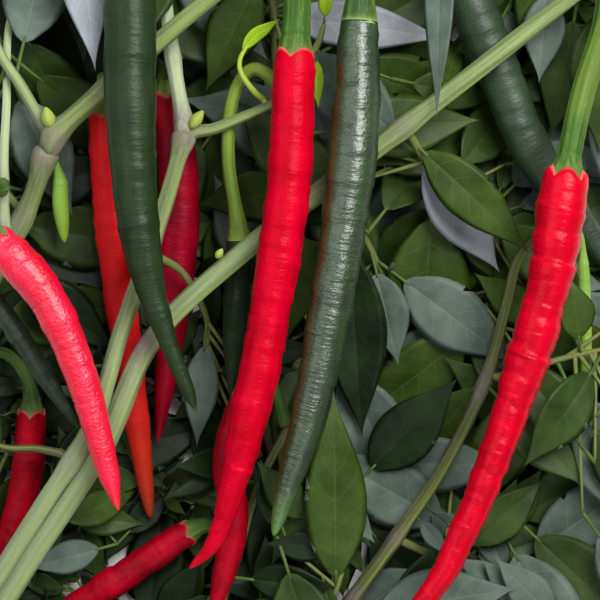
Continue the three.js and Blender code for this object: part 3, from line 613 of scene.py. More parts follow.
class Paint:
    """A material and the nodes that colour it."""

    def __init__(self, name, roughness, mirror=0.5, coat=0.0):
        self.material = bpy.data.materials.new(name)
        self.material.use_nodes = True
        self.tree = self.material.node_tree
        self.shader = self.tree.nodes["Principled BSDF"]
        self.shader.inputs["Roughness"].default_value = roughness
        self.shader.inputs["Specular IOR Level"].default_value = mirror
        self.shader.inputs["Coat Weight"].default_value = coat
        self.shader.inputs["Coat Roughness"].default_value = 0.2

    def node(self, kind, inputs=None, **settings):
        node = self.tree.nodes.new(kind)
        for key, value in settings.items():
            setattr(node, key, value)
        for key, value in (inputs or {}).items():
            if isinstance(value, bpy.types.NodeSocket):
                self.tree.links.new(value, node.inputs[key])
            else:
                node.inputs[key].default_value = value
        return node

    def attribute(self, name):
        return self.node("ShaderNodeAttribute", attribute_name=name).outputs["Vector"]

    def scaled(self, vector, scale):
        return self.node("ShaderNodeMapping", {"Vector": vector, "Scale": scale}).outputs["Vector"]

    def noise(self, vector, scale, detail=2.0, roughness=0.5):
        inputs = {"Vector": vector, "Scale": scale, "Detail": detail, "Roughness": roughness}
        return self.node("ShaderNodeTexNoise", inputs).outputs["Fac"]

    def ramp(self, value, stops):
        """stops are pairs of a place from 0 to 1 and a colour."""
        node = self.node("ShaderNodeValToRGB", {"Fac": value})
        elements = node.color_ramp.elements
        while len(elements) < len(stops):
            elements.new(0.5)
        for element, (place, colour) in zip(elements, stops):
            element.position = place
            element.color = linear(colour)
        return node.outputs["Color"]

    def level(self, value, low, high):
        """value from low to high, spread over 0 to 1."""
        inputs = {"Value": value, "From Min": low, "From Max": high}
        return self.node("ShaderNodeMapRange", inputs).outputs["Result"]

    def mix(self, share, first, second):
        node = self.tree.nodes.new("ShaderNodeMix")
        node.data_type = "RGBA"
        for key, value in (("Factor", share), ("A", first), ("B", second)):
            socket = next(s for s in node.inputs if s.name == key and s.enabled)
            if isinstance(value, bpy.types.NodeSocket):
                self.tree.links.new(value, socket)
            else:
                socket.default_value = linear(value)
        return next(s for s in node.outputs if s.enabled)

    def parts(self, vector):
        return self.node("ShaderNodeSeparateXYZ", {"Vector": vector}).outputs

    def finish(self, colour, height=None, strength=0.3, depth=0.2 * MM, roughness=None):
        self.tree.links.new(colour, self.shader.inputs["Base Color"])
        if height is not None:
            inputs = {"Height": height, "Strength": strength, "Distance": depth}
            normal = self.node("ShaderNodeBump", inputs).outputs["Normal"]
            self.tree.links.new(normal, self.shader.inputs["Normal"])
        if roughness is not None:
            self.tree.links.new(roughness, self.shader.inputs["Roughness"])
        return self.material


def stem_paint(name, dark, plain, light, pale):
    """Streaked along the grain. Tone's parts are the shares of purple, pale and yellow."""
    paint = Paint(name, 0.5, 0.15)
    grain = paint.attribute("grain")
    streaks = paint.noise(paint.scaled(grain, (0.9, 0.9, 0.03)), 1.0, 3.0, 0.5)
    colour = paint.ramp(streaks, [(0.3, dark), (0.5, plain), (0.68, light)])
    flecks = paint.noise(paint.scaled(grain, (0.7, 0.7, 0.25)), 1.6, 3.0)
    colour = paint.mix(paint.level(flecks, 0.6, 1.2), colour, pale)
    tone = paint.parts(paint.attribute("tone"))
    colour = paint.mix(tone[1], colour, pale)
    colour = paint.mix(tone[2], colour, YELLOW)
    edge = paint.noise(paint.scaled(grain, (0.8, 0.8, 0.4)), 1.2, 2.0)
    inputs = {0: tone[0], 1: paint.level(edge, 0.1, 0.75)}
    purple = paint.node("ShaderNodeMath", inputs, operation="MULTIPLY").outputs[0]
    colour = paint.mix(purple, colour, PURPLE)
    fine = paint.noise(paint.scaled(grain, (2.2, 2.2, 0.12)), 1.6, 3.0)
    return paint.finish(colour, fine, 0.45, 0.25 * MM, paint.level(fine, -0.6, 1.4))


def pod_paint(name, deep, plain, tip, mark, roughness, mirror, coat, pebbles, relief):
    """Skin with fine wrinkles across. Tone's parts are the shares of tip, mark and rim."""
    paint = Paint(name, roughness, mirror, coat)
    grain = paint.attribute("grain")
    tone = paint.parts(paint.attribute("tone"))
    cloud = paint.noise(paint.scaled(grain, (0.16, 0.16, 0.07)), 1.0, 3.0)
    colour = paint.ramp(cloud, [(0.3, deep), (0.62, plain)])
    for share, other in zip(tone, (tip, mark, RIM)):
        colour = paint.mix(share, colour, other)
    creases = paint.noise(paint.scaled(grain, (0.16, 0.16, 0.8)), 1.0, 4.0, 0.55)
    pores = paint.noise(paint.scaled(grain, (1.0, 1.0, 1.2)), 1.0, 2.0)
    inputs = {0: pores, 1: pebbles, 2: creases}
    height = paint.node("ShaderNodeMath", inputs, operation="MULTIPLY_ADD").outputs[0]
    return paint.finish(colour, height, relief, 0.4 * MM)


def leaf_paint(name, deep, plain, roughness):
    paint = Paint(name, roughness, 0.14)
    place = paint.attribute("grain")
    cloud = paint.noise(place, 0.09, 3.0)
    colour = paint.ramp(cloud, [(0.3, deep), (0.68, plain)])
    cells = paint.noise(place, 1.1, 2.0)
    return paint.finish(colour, cells, 0.35, 0.2 * MM)


STEMS = {look: stem_paint(look, *colours) for look, colours in STEM_COLOURS.items()}
PODS = {look: pod_paint(*colours) for look, colours in POD_COLOURS.items()}
LEAVES = {look: leaf_paint("leaf_" + look, *colours[:3]) for look, colours in LEAF_COLOURS.items()}
for look, colours in LEAF_COLOURS.items():
    LEAVES[look + "_vein"] = leaf_paint("vein_" + look, *colours[3:])
LEAVES["petiole"] = leaf_paint("petiole", *PETIOLE_COLOUR)
LEAF_LOOKS = list(LEAVES)


# Boughs

def tapering(route, foot, tip):
    """The radius at a distance, for a limb that is foot thick at its start and tip at its end."""
    return lambda distance: foot + (tip - foot) * distance / route.length


boughs = {}
for name, bough in BOUGHS.items():
    foot, tip = bough["radii"]
    route = seated(bough["route"], bough["on"], foot) if "on" in bough else Route(bough["route"])
    boughs[name] = {"route": route, "forks": [], "radius": tapering(route, foot, tip)}

pods = {}  # the route and the seam of each
for name, fruit in {**FRUIT, **YOUNG}.items():
    route = seated(fruit["route"], fruit["on"], fruit["stalk"])
    pods[name] = route, route.reach(fruit["seam"])


def pod_radius(fruit, length, distance):
    u = np.maximum(0, (distance / length - fruit["taper"]) / (1 - fruit["taper"]))
    shoulder = 1 - 0.11 * np.exp(-np.maximum(0, distance) / 5)
    return fruit["radius"] * shoulder * np.maximum(0, 1 - np.minimum(1, u) ** 2) ** fruit["blunt"]


def stalk_radius(fruit, seam, edge, distance):
    near = np.maximum(0, 1 - (seam - distance) / FLARE)
    return fruit["stalk"] + (edge - fruit["stalk"]) * near * near


def limb_radius(fruit, route, seam, distance, edge, least):
    """The stalk's radius before the seam, where it has widened to the share edge, and the pod's past it."""
    flesh = np.maximum(least, pod_radius(fruit, route.length - seam, distance - seam))
    return np.where(distance < seam, stalk_radius(fruit, seam, edge * fruit["radius"], distance), flesh)


# The cells that hold something, each with the heights that are taken and the name of what takes them
taken = {}


def take(owner, points, low, high, top=None):
    """Fill the cells at the points, each from low to high, or to top where that is given."""
    cells = np.floor(points[:, :2] / CELL).astype(int).tolist()
    highs = high.tolist() if top is None else [top] * len(low)
    for (x, y), bottom, above in zip(cells, low.tolist(), highs):
        taken.setdefault((x, y), []).append((owner, bottom - CLEAR, above + CLEAR))


def take_tube(owner, route, radius, top=None):
    distances = np.arange(0, route.length, 1.5)
    centres = route.at(distances)[0]
    for centre, size in zip(centres, np.broadcast_to(radius(distances), distances.shape)):
        reach = size + CELL
        steps = np.arange(-reach, reach + 1e-9, CELL)
        dx, dy = (a.ravel() for a in np.meshgrid(steps, steps, indexing="ij"))
        inside = reach * reach - dx * dx - dy * dy
        keep = inside > 0
        half = np.minimum(size, np.sqrt(inside[keep]))
        spots = np.stack([centre[0] + dx[keep], centre[1] + dy[keep]], axis=-1)
        take(owner, spots, centre[2] - half, centre[2] + half, top)


def is_free(owner, points):
    cells = np.floor(points[:, :2] / CELL).astype(int).tolist()
    for (x, y), z in zip(cells, points[:, 2].tolist()):
        for holder, low, high in taken.get((x, y), ()):
            if low < z < high and holder != owner:
                return False
    return True


def leaf_frames(leaf, t):
    """Point, along, side, up and half width at shares t of a leaf, petiole and blade together."""
    root, tip = leaf["root"], leaf["tip"]
    middle = (root + tip) / 2 + UP * 2 * leaf["bow"]
    t = np.asarray(t, float)[..., None]
    point = (1 - t) ** 2 * root + 2 * (1 - t) * t * middle + t * t * tip
    along = unit((1 - t) * (middle - root) + t * (tip - middle))
    if "route" in leaf:
        route = leaf["route"]
        point, along, _, _ = (a.reshape(t.shape[:-1] + (3,)) for a in route.at(t.ravel() * route.length))
    level = unit(np.cross(along, UP))
    side = level * math.cos(leaf["roll"]) + np.cross(along, level) * math.sin(leaf["roll"])
    petiole = leaf.get("petiole", LEAF["petiole"])
    blade = np.clip((t[..., 0] - petiole) / (1 - petiole), 0, 1)
    bulge = np.maximum(0, np.sin(math.pi * blade**0.75)) ** (0.9 + 0.6 * blade)
    half = leaf["width"] / 2 * np.where(blade > 0, bulge, 0)
    return point, along, side, np.cross(side, along), half


def blade_points(leaf, rows=40, columns=6, start=0.1):
    point, _, side, up, half = leaf_frames(leaf, np.arange(round(rows * start), rows + 1) / rows)
    across = half[:, None] * np.arange(-columns, columns + 1) / columns
    lifted = up[..., None, :] * (np.abs(across) * LEAF["fold"])[..., None]
    return (point[..., None, :] + side[..., None, :] * across[..., None] + lifted).reshape(-1, 3)


def take_leaf(owner, leaf, top=None):
    points = blade_points(leaf)
    take(owner, points, points[:, 2] - HALF_LEAF, points[:, 2] + HALF_LEAF, top)


def fits(owner, leaf):
    points = blade_points(leaf)
    inside = (np.abs(points[:, 0]) < REACH["x"]) & (np.abs(points[:, 1]) < REACH["y"])
    return bool(inside.all() and (points[:, 2] > REACH["low"]).all()) and is_free(owner, points)


def grown_leaves(name, seed, more, route):
    """The leaves that a twig grows by rule: alternate sides, the lowest level where the blade is free."""
    random = seeded(seed)
    grown = []
    for i in range(more):
        point, along = (a[0] for a in route.at(route.length * (0.25 + 0.75 * (i + random()) / more))[:2])
        heading = math.atan2(along[1], along[0])
        tried = []
        for k in range(TRIES):
            angle = heading + (1 if (i + k) % 2 else -1) * (0.4 + 2.2 * random())
            size = LEAF["length"] * (1.25 - 0.1 * k) * (0.85 + 0.3 * random())
            roll = 0.5 * (random() - 0.5)
            x, y = point[0] + size * math.cos(angle), point[1] + size * math.sin(angle)
            for level in LEVELS:
                tried.append({
                    "root": point, "tip": np.array([x, y, level]), "width": size * LEAF["share"],
                    "bow": LEAF["bow"], "roll": roll,
                })
        leaf = next((candidate for candidate in tried if fits(name, candidate)), None)
        if leaf is None:
            continue
        take_leaf(name + str(i), leaf)
        grown.append(leaf)
    return grown


for name, bough in boughs.items():
    take_tube(name, bough["route"], bough["radius"], SKY if name in OPEN else None)
for fruits, shape, top in ((FRUIT, POD_SHAPE, SKY), (YOUNG, YOUNG_SHAPE, None)):
    for name, fruit in fruits.items():
        route, seam = pods[name]
        take_tube(name, route, lambda distance: limb_radius(fruit, route, seam, distance, *shape), top)

sprays = {}
for name, spray in SPRAYS.items():
    route = seated(spray["route"], spray["on"], TWIG["foot"])
    take_tube(name, route, tapering(route, TWIG["foot"], TWIG["tip"]))
    leaves = []
    for own in spray["own"]:
        leaf = {**own, "root": route.at(route.length * own["at"])[0][0], "tip": np.array(own["tip"], float)}
        take_leaf(name + "own", leaf, SKY)
        leaves.append(leaf)
    twig = {**TWIG, "route": route, "until": route.length}
    sprays[name] = {"route": route, "leaves": leaves, "twigs": [twig]}
for name, spray in SPRAYS.items():
    sprays[name]["leaves"] += grown_leaves(name, spray["seed"], spray["more"], sprays[name]["route"])


# Finer twigs in the room that is left, and leaves that turn to where the light still falls through

class Room:
    """Boxes with the number of what fills each."""

    def __init__(self):
        self.held = np.zeros(ROOM_SIZE, np.int8)
        for (x, y), layers in taken.items():
            for holder, low, high in layers:
                kind = BLADE if holder.startswith("leaves") and holder not in SPRAYS else LIMB
                self.fill(kind, np.array([[x * CELL, y * CELL]]), [low + CLEAR], [high - CLEAR])

    def boxes(self, points):
        spots = np.floor(points[:, :3] / [CELL, CELL, ROOM_STEP]).astype(int) - ROOM_LOW
        return tuple(np.clip(spots, 0, ROOM_SIZE - 1).T)

    def fill(self, kind, spots, lows, highs):
        cells = (np.floor(spots[:, :2] / CELL).astype(int) - ROOM_LOW[:2]).tolist()
        for (x, y), low, high in zip(cells, lows, highs):
            bottom = max(0, int((low - FINE["clear"]) / ROOM_STEP))
            self.held[x, y, bottom:int((high + FINE["clear"]) / ROOM_STEP) + 1] = kind

    def free(self, points):
        """Which rows of points, (rows, n, 3), are free and in reach."""
        flat = points.reshape(-1, 3)
        good = self.held[self.boxes(flat)] == 0
        good &= (np.abs(flat[:, 0]) < REACH["x"]) & (np.abs(flat[:, 1]) < REACH["y"])
        good &= (flat[:, 2] > REACH["low"]) & (flat[:, 2] < POD_HEIGHT)
        return good.reshape(len(points), -1).all(axis=1)


class Shade:
    """Which spots of the floor are hidden from the camera."""

    def __init__(self):
        self.hidden = np.zeros((2 * SHADE_SIZE, 2 * SHADE_SIZE), bool)
        self.given_up = np.zeros_like(self.hidden)

    def cast(self, points):
        flat = points[:, :2] * (CAMERA_HEIGHT / (CAMERA_HEIGHT - points[:, 2:]))
        spots = np.clip(np.floor(flat / SPOT).astype(int) + SHADE_SIZE, 0, 2 * SHADE_SIZE - 1)
        self.hidden[tuple(spots.T)] = True

    def cast_leaf(self, leaf):
        point, _, side, up, half = leaf_frames(leaf, np.linspace(0.1, 1, 100))
        across = np.maximum(0, half - EDGE)[:, None] * np.linspace(-1, 1, 29)
        lifted = up[:, None] * (np.abs(across) * LEAF["fold"])[..., None]
        inside = half > EDGE
        self.cast((point[:, None] + side[:, None] * across[..., None] + lifted)[inside].reshape(-1, 3))

    def cast_limb(self, route, radius):
        distances = np.arange(0, route.length, 0.7)
        point, _, side, _ = route.at(distances)
        half = np.broadcast_to(radius(distances), distances.shape)
        across = np.maximum(0, half - EDGE)[:, None] * np.linspace(-1, 1, 25)
        self.cast((point[:, None] + side[:, None] * across[..., None]).reshape(-1, 3))


shade = Shade()
for spray in sprays.values():
    for leaf in spray["leaves"]:
        shade.cast_leaf(leaf)

room = Room()


def grow_twigs(name, seed):
    """The side twigs of a spray. Gives the places on all its twigs where leaves may grow."""
    main, random = sprays[name], seeded(seed)
    grown = []
    for k in range(SIDE["twigs"]):
        start, along = (a[0] for a in main["route"].at(main["route"].length * (0.15 + 0.85 * random()))[:2])
        for _ in range(SIDE["headings"]):
            heading = math.atan2(along[1], along[0]) + (1 if k % 2 else -1) * (0.2 + 2.0 * random())
            reach = SIDE["length"] * (0.5 + random())
            end = start + reach * np.array([math.cos(heading), math.sin(heading), 0])
            end[2] = max(3, start[2] + 24 * (random() - 0.6))
            middle = (start + end) / 2 + UP * 1.5
            twig = Route([start.tolist(), middle.tolist(), end.tolist()])
            line = twig.at(np.linspace(6, twig.length, 16))[0]
            if room.free(line[None])[0]:
                room.fill(SIDE_TWIG, line, line[:, 2], line[:, 2])
                grown.append({"foot": SIDE["foot"], "tip": SIDE["tip"], "route": twig, "until": 0})
                break
    main["twigs"] += grown
    return [place for twig in main["twigs"] for place in places_on(name, twig)]


def places_on(name, limb):
    """The places where a limb may bear leaves of that spray."""
    route = limb["route"]
    return [{"spray": name, "limb": limb, "at": at, "point": route.at(at)[0][0], "leaves": 0}
            for at in np.arange(2.0, route.length, FINE["spacing"])]


def leaf_over(target, places, random):
    """A leaf from a near place whose blade passes over the target, as large as has room."""
    spots = np.array([place["point"][:2] for place in places])
    away = np.linalg.norm(spots - target, axis=1)
    for (smallest, largest), count, shares, width in FINE["tries"]:
        near = [i for i in np.argsort(np.abs(away - 0.3 * (smallest + largest)))[:2 * count]
                if away[i] > NEAREST and places[i]["leaves"] < FINE["most"]][:count]
        sizes = [(away[i] / share, i) for i in near for share in shares]
        for size, i in sorted((choice for choice in sizes if smallest < choice[0] < largest), reverse=True):
            root = places[i]["point"]
            flat = root[:2] + (target - spots[i]) * size / away[i]
            tips = np.column_stack([np.tile(flat, (len(FINE["levels"]), 1)), FINE["levels"]])
            roll, bow = 0.5 * (random() - 0.5), 0.03 * size
            leaf = {"root": root, "tip": tips[:, None], "width": size * width, "bow": bow, "roll": roll}
            rows, columns = max(10, int(size / 2)), max(2, int(size * width / 4))
            wider = {**leaf, "width": leaf["width"] + FINE["beside"]}
            blades = blade_points(wider, rows, columns, 0.2).reshape(len(tips), -1, 3)
            found = np.flatnonzero(room.free(blades))
            if len(found):
                place = places[i]
                place["leaves"] += 1
                place["limb"]["until"] = max(place["limb"]["until"], place["at"])
                return place["spray"], {**leaf, "tip": tips[found[0]]}
    return None


places = []
for name, spray in SPRAYS.items():
    if spray["more"]:
        places += grow_twigs(name, spray["seed"] + 1000)
for name, bough in boughs.items():
    borne = [key for key, spray in SPRAYS.items() if spray["on"] == name and spray["more"]]
    if borne:
        places += places_on(borne[0], {"route": bough["route"], "until": 0})
random = seeded(7)


def fill_gaps(step, reach):
    """Grow leaves over the gaps among the spots a step apart, in a scattered order."""
    shade.given_up[:] = False
    spots = [(x, y) for x in range(-reach[0], reach[0], step) for y in range(-reach[1], reach[1], step)]
    spots.sort(key=lambda spot: lattice(1, spot[0] // PATCH, spot[1] // PATCH) + 0.01 * lattice(2, *spot))
    for x, y in spots:
        i, j = x + SHADE_SIZE, y + SHADE_SIZE
        if shade.hidden[i, j] or shade.given_up[i, j]:
            continue
        grown = leaf_over(np.array([x + 0.5, y + 0.5]) * SIGHT, places, random)
        if grown is None:
            shade.given_up[i - BESIDE:i + BESIDE + 1, j - BESIDE:j + BESIDE + 1] = True
            continue
        points = blade_points(grown[1], start=0.2)
        room.fill(BLADE, points, points[:, 2], points[:, 2])
        shade.cast_leaf(grown[1])
        sprays[grown[0]]["leaves"].append(grown[1])


fill_gaps(2, ALL_ROUND)
for name, bough in boughs.items():
    shade.cast_limb(bough["route"], bough["radius"])
for name, fruit in FRUIT.items():
    route, seam = pods[name]
    shade.cast_limb(route, lambda distance: np.where(
        distance < seam, fruit["stalk"], 0.8 * pod_radius(fruit, route.length - seam, distance - seam)))
fill_gaps(1, IN_VIEW)
FINE.update(LAST)
fill_gaps(1, LAST_VIEW)


# Stems

def bough_skin(name):
    bough = boughs[name]
    route, (foot, tip) = bough["route"], BOUGHS[name]["radii"]
    is_cut = "on" not in BOUGHS[name]
    start = 0 if is_cut else sunk(route)
    rows = int((route.length - start + tip) / STEM_STEP) + 1
    caps = route.length + tip * np.array([0.5, 0.8, 0.95])
    distances = np.concatenate([np.linspace(start, route.length, rows), caps])
    shrink = np.ones(len(distances))
    shrink[-3:] = [0.87, 0.6, 0.3]
    distance, angle = grid(distances, STEM_SIDES)
    seed = len(name) + foot * 7
    radius = bough["radius"](np.clip(distance, 0, route.length))
    twist = angle + distance / 90 + 0.3 * noise(seed, distance / 40, distance * 0)
    ribs = RIB * np.cos(RIB_COUNT * twist) - GROOVE * bump_at(np.mod(twist, 2 * math.pi), GROOVE_AT, 0.16)
    swell = sum((SWELL["fork"] * bump_at(distance, fork, 3.2 + 0.6 * foot) for fork in bough["forks"]),
                0 * distance)
    if not is_cut:
        swell = swell + SWELL["foot"] * bump_at(distance, -0.3 * foot, 1.5 * foot)
    if name == "left_stem":
        swell = swell + SWELL["pair"] * np.clip((PAIRED - distance) / 20, 0, 1)
    if "knob" in BOUGHS[name]:
        swell = swell + SWELL["knob"] * bump_at(distance, BOUGHS[name]["knob"] * route.length, 4)
    rough = 0.02 * noise(seed + 1, angle / (2 * math.pi) * 10, distance / 5, 10)
    radius = radius * (1 + ribs + swell + rough) * shrink[:, None]
    rings = ring_points(route, distance, angle, radius)
    if name == "left_stem":
        share = np.clip(distance / 12, 0, 1) * np.clip((PAIRED - distance) / 25, 0, 1)
        rings = rings + PRESSED * share[..., None]
    return route, distance, angle, rings, radius


def stem_tone(name, distance, angle, rings):
    """Shares of purple at forks and scars, of pale, and of yellow in a streak along the upper side."""
    bough, looks = boughs[name], BOUGHS[name]
    purple = np.zeros_like(distance)
    for fork in bough["forks"]:
        purple = np.maximum(purple, FORK_TINT * bump_at(distance, fork, 5))
    nodes = [0] if "on" in looks else []
    if "knob" in looks:
        nodes.append(looks["knob"] * bough["route"].length)
    for node in nodes:
        purple = np.maximum(purple, looks["tint"] * bump_at(distance, node, 5.5))
    for scarred, place, size, strength in SCARS:
        if scarred == name:
            away = np.linalg.norm(rings - np.array(place, float), axis=-1)
            purple = np.maximum(purple, strength * bump_at(away, 0, size))
    pale = looks["pale"] + 0 * distance
    if "fade" in looks:
        pale = pale * np.clip(1 - distance / looks["fade"], 0, 1)
    yellow = 0.3 * bump_at(np.mod(angle + distance / 300, 2 * math.pi), 1.25, 0.3)
    return np.stack([purple, pale, yellow], axis=-1)


def bud_skin(foot, tip, size):
    """A small pointed bud, from foot to tip."""
    route = Route([foot, tip])
    share = np.linspace(0, 1, 14)
    distance, angle = grid(share * route.length, 14)
    radius = size * (0.15 + 0.85 * np.sin(math.pi * share**0.8) ** 0.8)[:, None]
    radius = radius * (1 + 0.08 * np.cos(4 * angle))
    return ring_points(route, distance, angle, radius), grain_of(distance, angle, radius), [0.1, 0.1, 0.85]


for name in BOUGHS:
    route, distance, angle, rings, radius = bough_skin(name)
    skin = Skin()
    skin.add(rings, grain_of(distance, angle, radius), stem_tone(name, distance, angle, rings))
    for bearer, foot, tip, size in BUDS:
        if bearer == name:
            skin.add(*bud_skin(foot, tip, size))
    skin.build("stem_" + name, [STEMS[BOUGHS[name]["look"]]], [name])


# Pods, each under its calyx and stalk

def calyx_radius(fruit, seam, distance):
    """The stalk widens slowly, then faster, to a calyx nearly as wide as the pod."""
    near = np.clip(1 + (distance - seam) / fruit["flare"], 0, 1)
    edge = (0.89 if fruit["colour"] == "green" else 0.85) * fruit["widths"][0][1] * fruit["radius"]
    return fruit["stalk"] + (edge - fruit["stalk"]) * near**1.7


def lobes_at(fruit, angle):
    return np.abs(np.cos(fruit["lobes"] / 2 * (angle + fruit["turn"]))) ** 0.6


def lobe_height(fruit):
    """How far the lobes of a ripe pod's skin reach up its calyx."""
    return 0.0 if fruit["colour"] == "green" else LOBE * fruit["radius"]


def seam_of(name, fruit):
    """The pod's route, and where its skin begins between two lobes."""
    route, seam = pods[name]
    if "seam_seen" in fruit:
        seam = route.reach(fruit["seam_seen"])
    return route, seam + 0.9 * lobe_height(fruit)


def calyx_skin(name, fruit):
    route, seam = seam_of(name, fruit)
    step, sides = FRONT_CALYX if name in FRONT else OTHER_CALYX
    start = sunk(route)
    distance, angle = grid(np.linspace(start, seam, int((seam - start) / step)), sides)
    seed = fruit["radius"] * 3
    radius = calyx_radius(fruit, seam, distance)
    near = np.clip(1 + (distance - seam) / 12, 0, 1)
    ribs = (0.035 + 0.02 * near) * np.cos(9 * angle + 0.8 * noise(seed, distance / 20, distance * 0))
    foot = 0.3 * bump_at(distance, 0, 3.0)
    pimples = 0.016 * noise(seed + 1, angle / (2 * math.pi) * 24, distance / 1.1, 24)
    crease = 0.02 * near * noise(seed + 2, angle / (2 * math.pi) * 6, distance / 1.4, 6)
    joint = -0.07 * bump_at(distance, seam - 1.1 * fruit["radius"], 0.7)
    radius = radius * (1 + (ribs + pimples) * (1 - near**6) + foot + crease + joint)
    # The calyx's edge: under the skin of a ripe pod, over the shoulder of a green one
    is_ripe = fruit["colour"] != "green"
    teeth = 0 if is_ripe else 0.2 * (1 - lobes_at(fruit, angle[0]))
    tail = [0.4, 0.9, 1.1] if is_ripe else [0.35, 0.6, 0.5]
    size = [0.95, 0.8, 0.4] if is_ripe else [1.01, 0.98, 0.86]
    edge = np.stack([seam + length + (0 if is_ripe else 0.5) + teeth + 0 * angle[0] for length in tail])
    stretch = np.clip((distance - (seam - 6)) / 6, 0, 1) * (edge[0] - tail[0] - seam)
    distance = np.concatenate([distance + stretch, edge])
    radius = np.concatenate([radius, radius[-1] * np.array(size)[:, None]])
    angle = np.concatenate([angle, angle[:3]])
    rings = ring_points(route, distance, angle, radius)
    pale = (0.6 if is_ripe else 0.8) * np.exp(-np.maximum(0, seam - distance) / (2.5 if is_ripe else 0.8))
    yellow = 0.22 * np.clip(noise(seed + 3, angle / (2 * math.pi) * 4, distance / 16, 4), 0, 1)
    tone = np.stack([0.25 * bump_at(distance, 0, 2.5), pale, yellow + fruit["yellow"]], axis=-1)
    return rings, grain_of(distance, angle, radius), tone


def pod_wrinkles(seed, angle, distance, rough, ledges):
    """How far the skin stands from its plain shape, in millimetres."""
    turn = angle / (2 * math.pi)
    broad = noise(seed, turn * 3, distance / 10, 3)
    warp = 0.6 * noise(seed + 9, turn * 2, distance / 8, 2)
    along = distance + 1.6 * noise(seed + 8, turn * 3, distance / 5, 3)
    steps = noise(seed + 6, turn * 2 + warp, along / 3.4, 2)
    folds = noise(seed + 1, turn * 4 + warp, along / 1.7, 4)
    fine = noise(seed + 2, turn * 8 + warp, distance / 0.9, 8)
    patch = np.clip(0.6 + 0.7 * noise(seed + 3, turn * 3, distance / 15, 3), 0.1, 1.2)
    course = angle * 3 + 1.2 * noise(seed + 4, distance / 50, distance * 0)
    furrows = -0.16 * bump_at(np.mod(course, 2 * math.pi), math.pi, 0.5)
    # Ledges across, their short sides turned up the pod
    place = np.mod(along / 8.2 + 0.25 * warp, 1)
    ledge = np.where(place < 0.13, place / 0.13, (1 - place) / 0.87) - 0.5
    wrinkles = 0.4 * broad + 0.42 * steps + patch * (0.2 * folds + 0.07 * fine)
    return rough * wrinkles + furrows + ledges * ledge


def pod_skin(name, fruit):
    route, seam = seam_of(name, fruit)
    length = route.length - seam
    is_ripe = fruit["colour"] != "green"
    rows, sides = FRONT_POD if name in FRONT else OTHER_POD
    x = np.linspace(0, 1, rows)
    body = length * (x + np.sin(x * math.pi / 2)) / 2
    distance, angle = grid(body, sides)
    seed = fruit["radius"] * 5 + length
    lobe = lobe_height(fruit) * lobes_at(fruit, angle)
    shifted = distance - lobe * np.exp(-distance / 3.5)
    shares, widths = zip(*fruit["widths"])
    plain = pod_radius(fruit, length, np.maximum(0, shifted)) * np.interp(shifted / length, shares, widths)
    lip = calyx_radius(fruit, seam, seam + np.minimum(0, shifted)) + 0.35
    shoulder = np.clip((distance / 1.4) ** 0.6, 0, 1)
    radius = lip + (plain - lip) * shoulder if is_ripe else plain
    fade = np.clip(distance / 4, 0, 1) * np.clip((length - distance) / 10, 0.15, 1)
    wrinkles = pod_wrinkles(seed, angle, distance, fruit["rough"], fruit["ledges"])
    radius = radius + fade * wrinkles * (radius / fruit["radius"])
    radius = np.maximum(radius, 0.05)
    # The skin turns in under the calyx
    shifted = np.concatenate([shifted[0] + np.array([[1.6], [0.35]]), shifted])
    radius = np.concatenate([np.stack([0.75 * radius[0], radius[0] - 0.3]), radius])
    angle = np.concatenate([angle[:2], angle])
    distance = np.concatenate([0 * distance[:2], distance])
    rings = ring_points(route, seam + shifted, angle, radius)
    share = fruit["tip"]
    tip = np.clip((distance / length - (1 - share)) / share, 0, 1) ** 1.5
    course = 0.5 + 0.2 * noise(seed + 7, distance / 20, distance * 0)
    mark = fruit["mark"] * bump_at(np.mod(angle, 2 * math.pi), course, 0.3)
    mark = mark * np.clip((distance - 20) / 30, 0, 1)
    mark = mark * np.clip(0.6 + noise(seed + 5, angle * 2, distance / 5), 0, 1)
    rim = np.zeros_like(tip)
    rim[2] = 0.8 if is_ripe else 0
    tone = np.stack([tip, mark, rim], axis=-1)
    return rings, grain_of(distance, angle, radius), tone


for name, fruit in FRUIT.items():
    skin = Skin()
    skin.add(*calyx_skin(name, fruit))
    skin.build("stalk_" + name, [STEMS[fruit["calyx"]]], ["calyx_" + name])
    skin = Skin()
    skin.add(*pod_skin(name, fruit))
    kind = fruit["colour"]
    skin.build("fruit_" + name, [PODS[fruit.get("look", kind)]], ["pod_" + name])

for name, fruit in YOUNG.items():
    route, seam = pods[name]
    distance, angle = grid(np.linspace(sunk(route), route.length, 90), 24)
    radius = limb_radius(fruit, route, seam, distance, *YOUNG_SHAPE)
    radius = radius + 0.05 * noise(4, angle / (2 * math.pi) * 6, distance / 2.5, 6)
    radius[0] *= 0.9
    radius[-1] *= 0.5
    rings = ring_points(route, distance, angle, radius)
    tip = np.clip(distance / route.length, 0, 1)
    skin = Skin()
    skin.add(rings, grain_of(distance, angle, radius), np.stack([tip, 0 * tip, 0 * tip], axis=-1))
    skin.build("fruit_" + name, [PODS["young"]], [name])


# Leaves

# Rows across a blade: where each meets the rib, on which side of a vein it lies, and if a vein starts there
ROWS = [(0.0, 0, False), (0.02, 0, False)]
for i in range(VEINS):
    middle = FIRST_VEIN + VEINED * (i + 0.5) / VEINS
    ROWS += [(middle - 0.045, 0, False), (middle, -1, True), (middle, 1, False), (middle + 0.045, 0, False)]
ROWS += [(0.93, 0, False), (0.965, 0, False), (0.99, 0, False)]


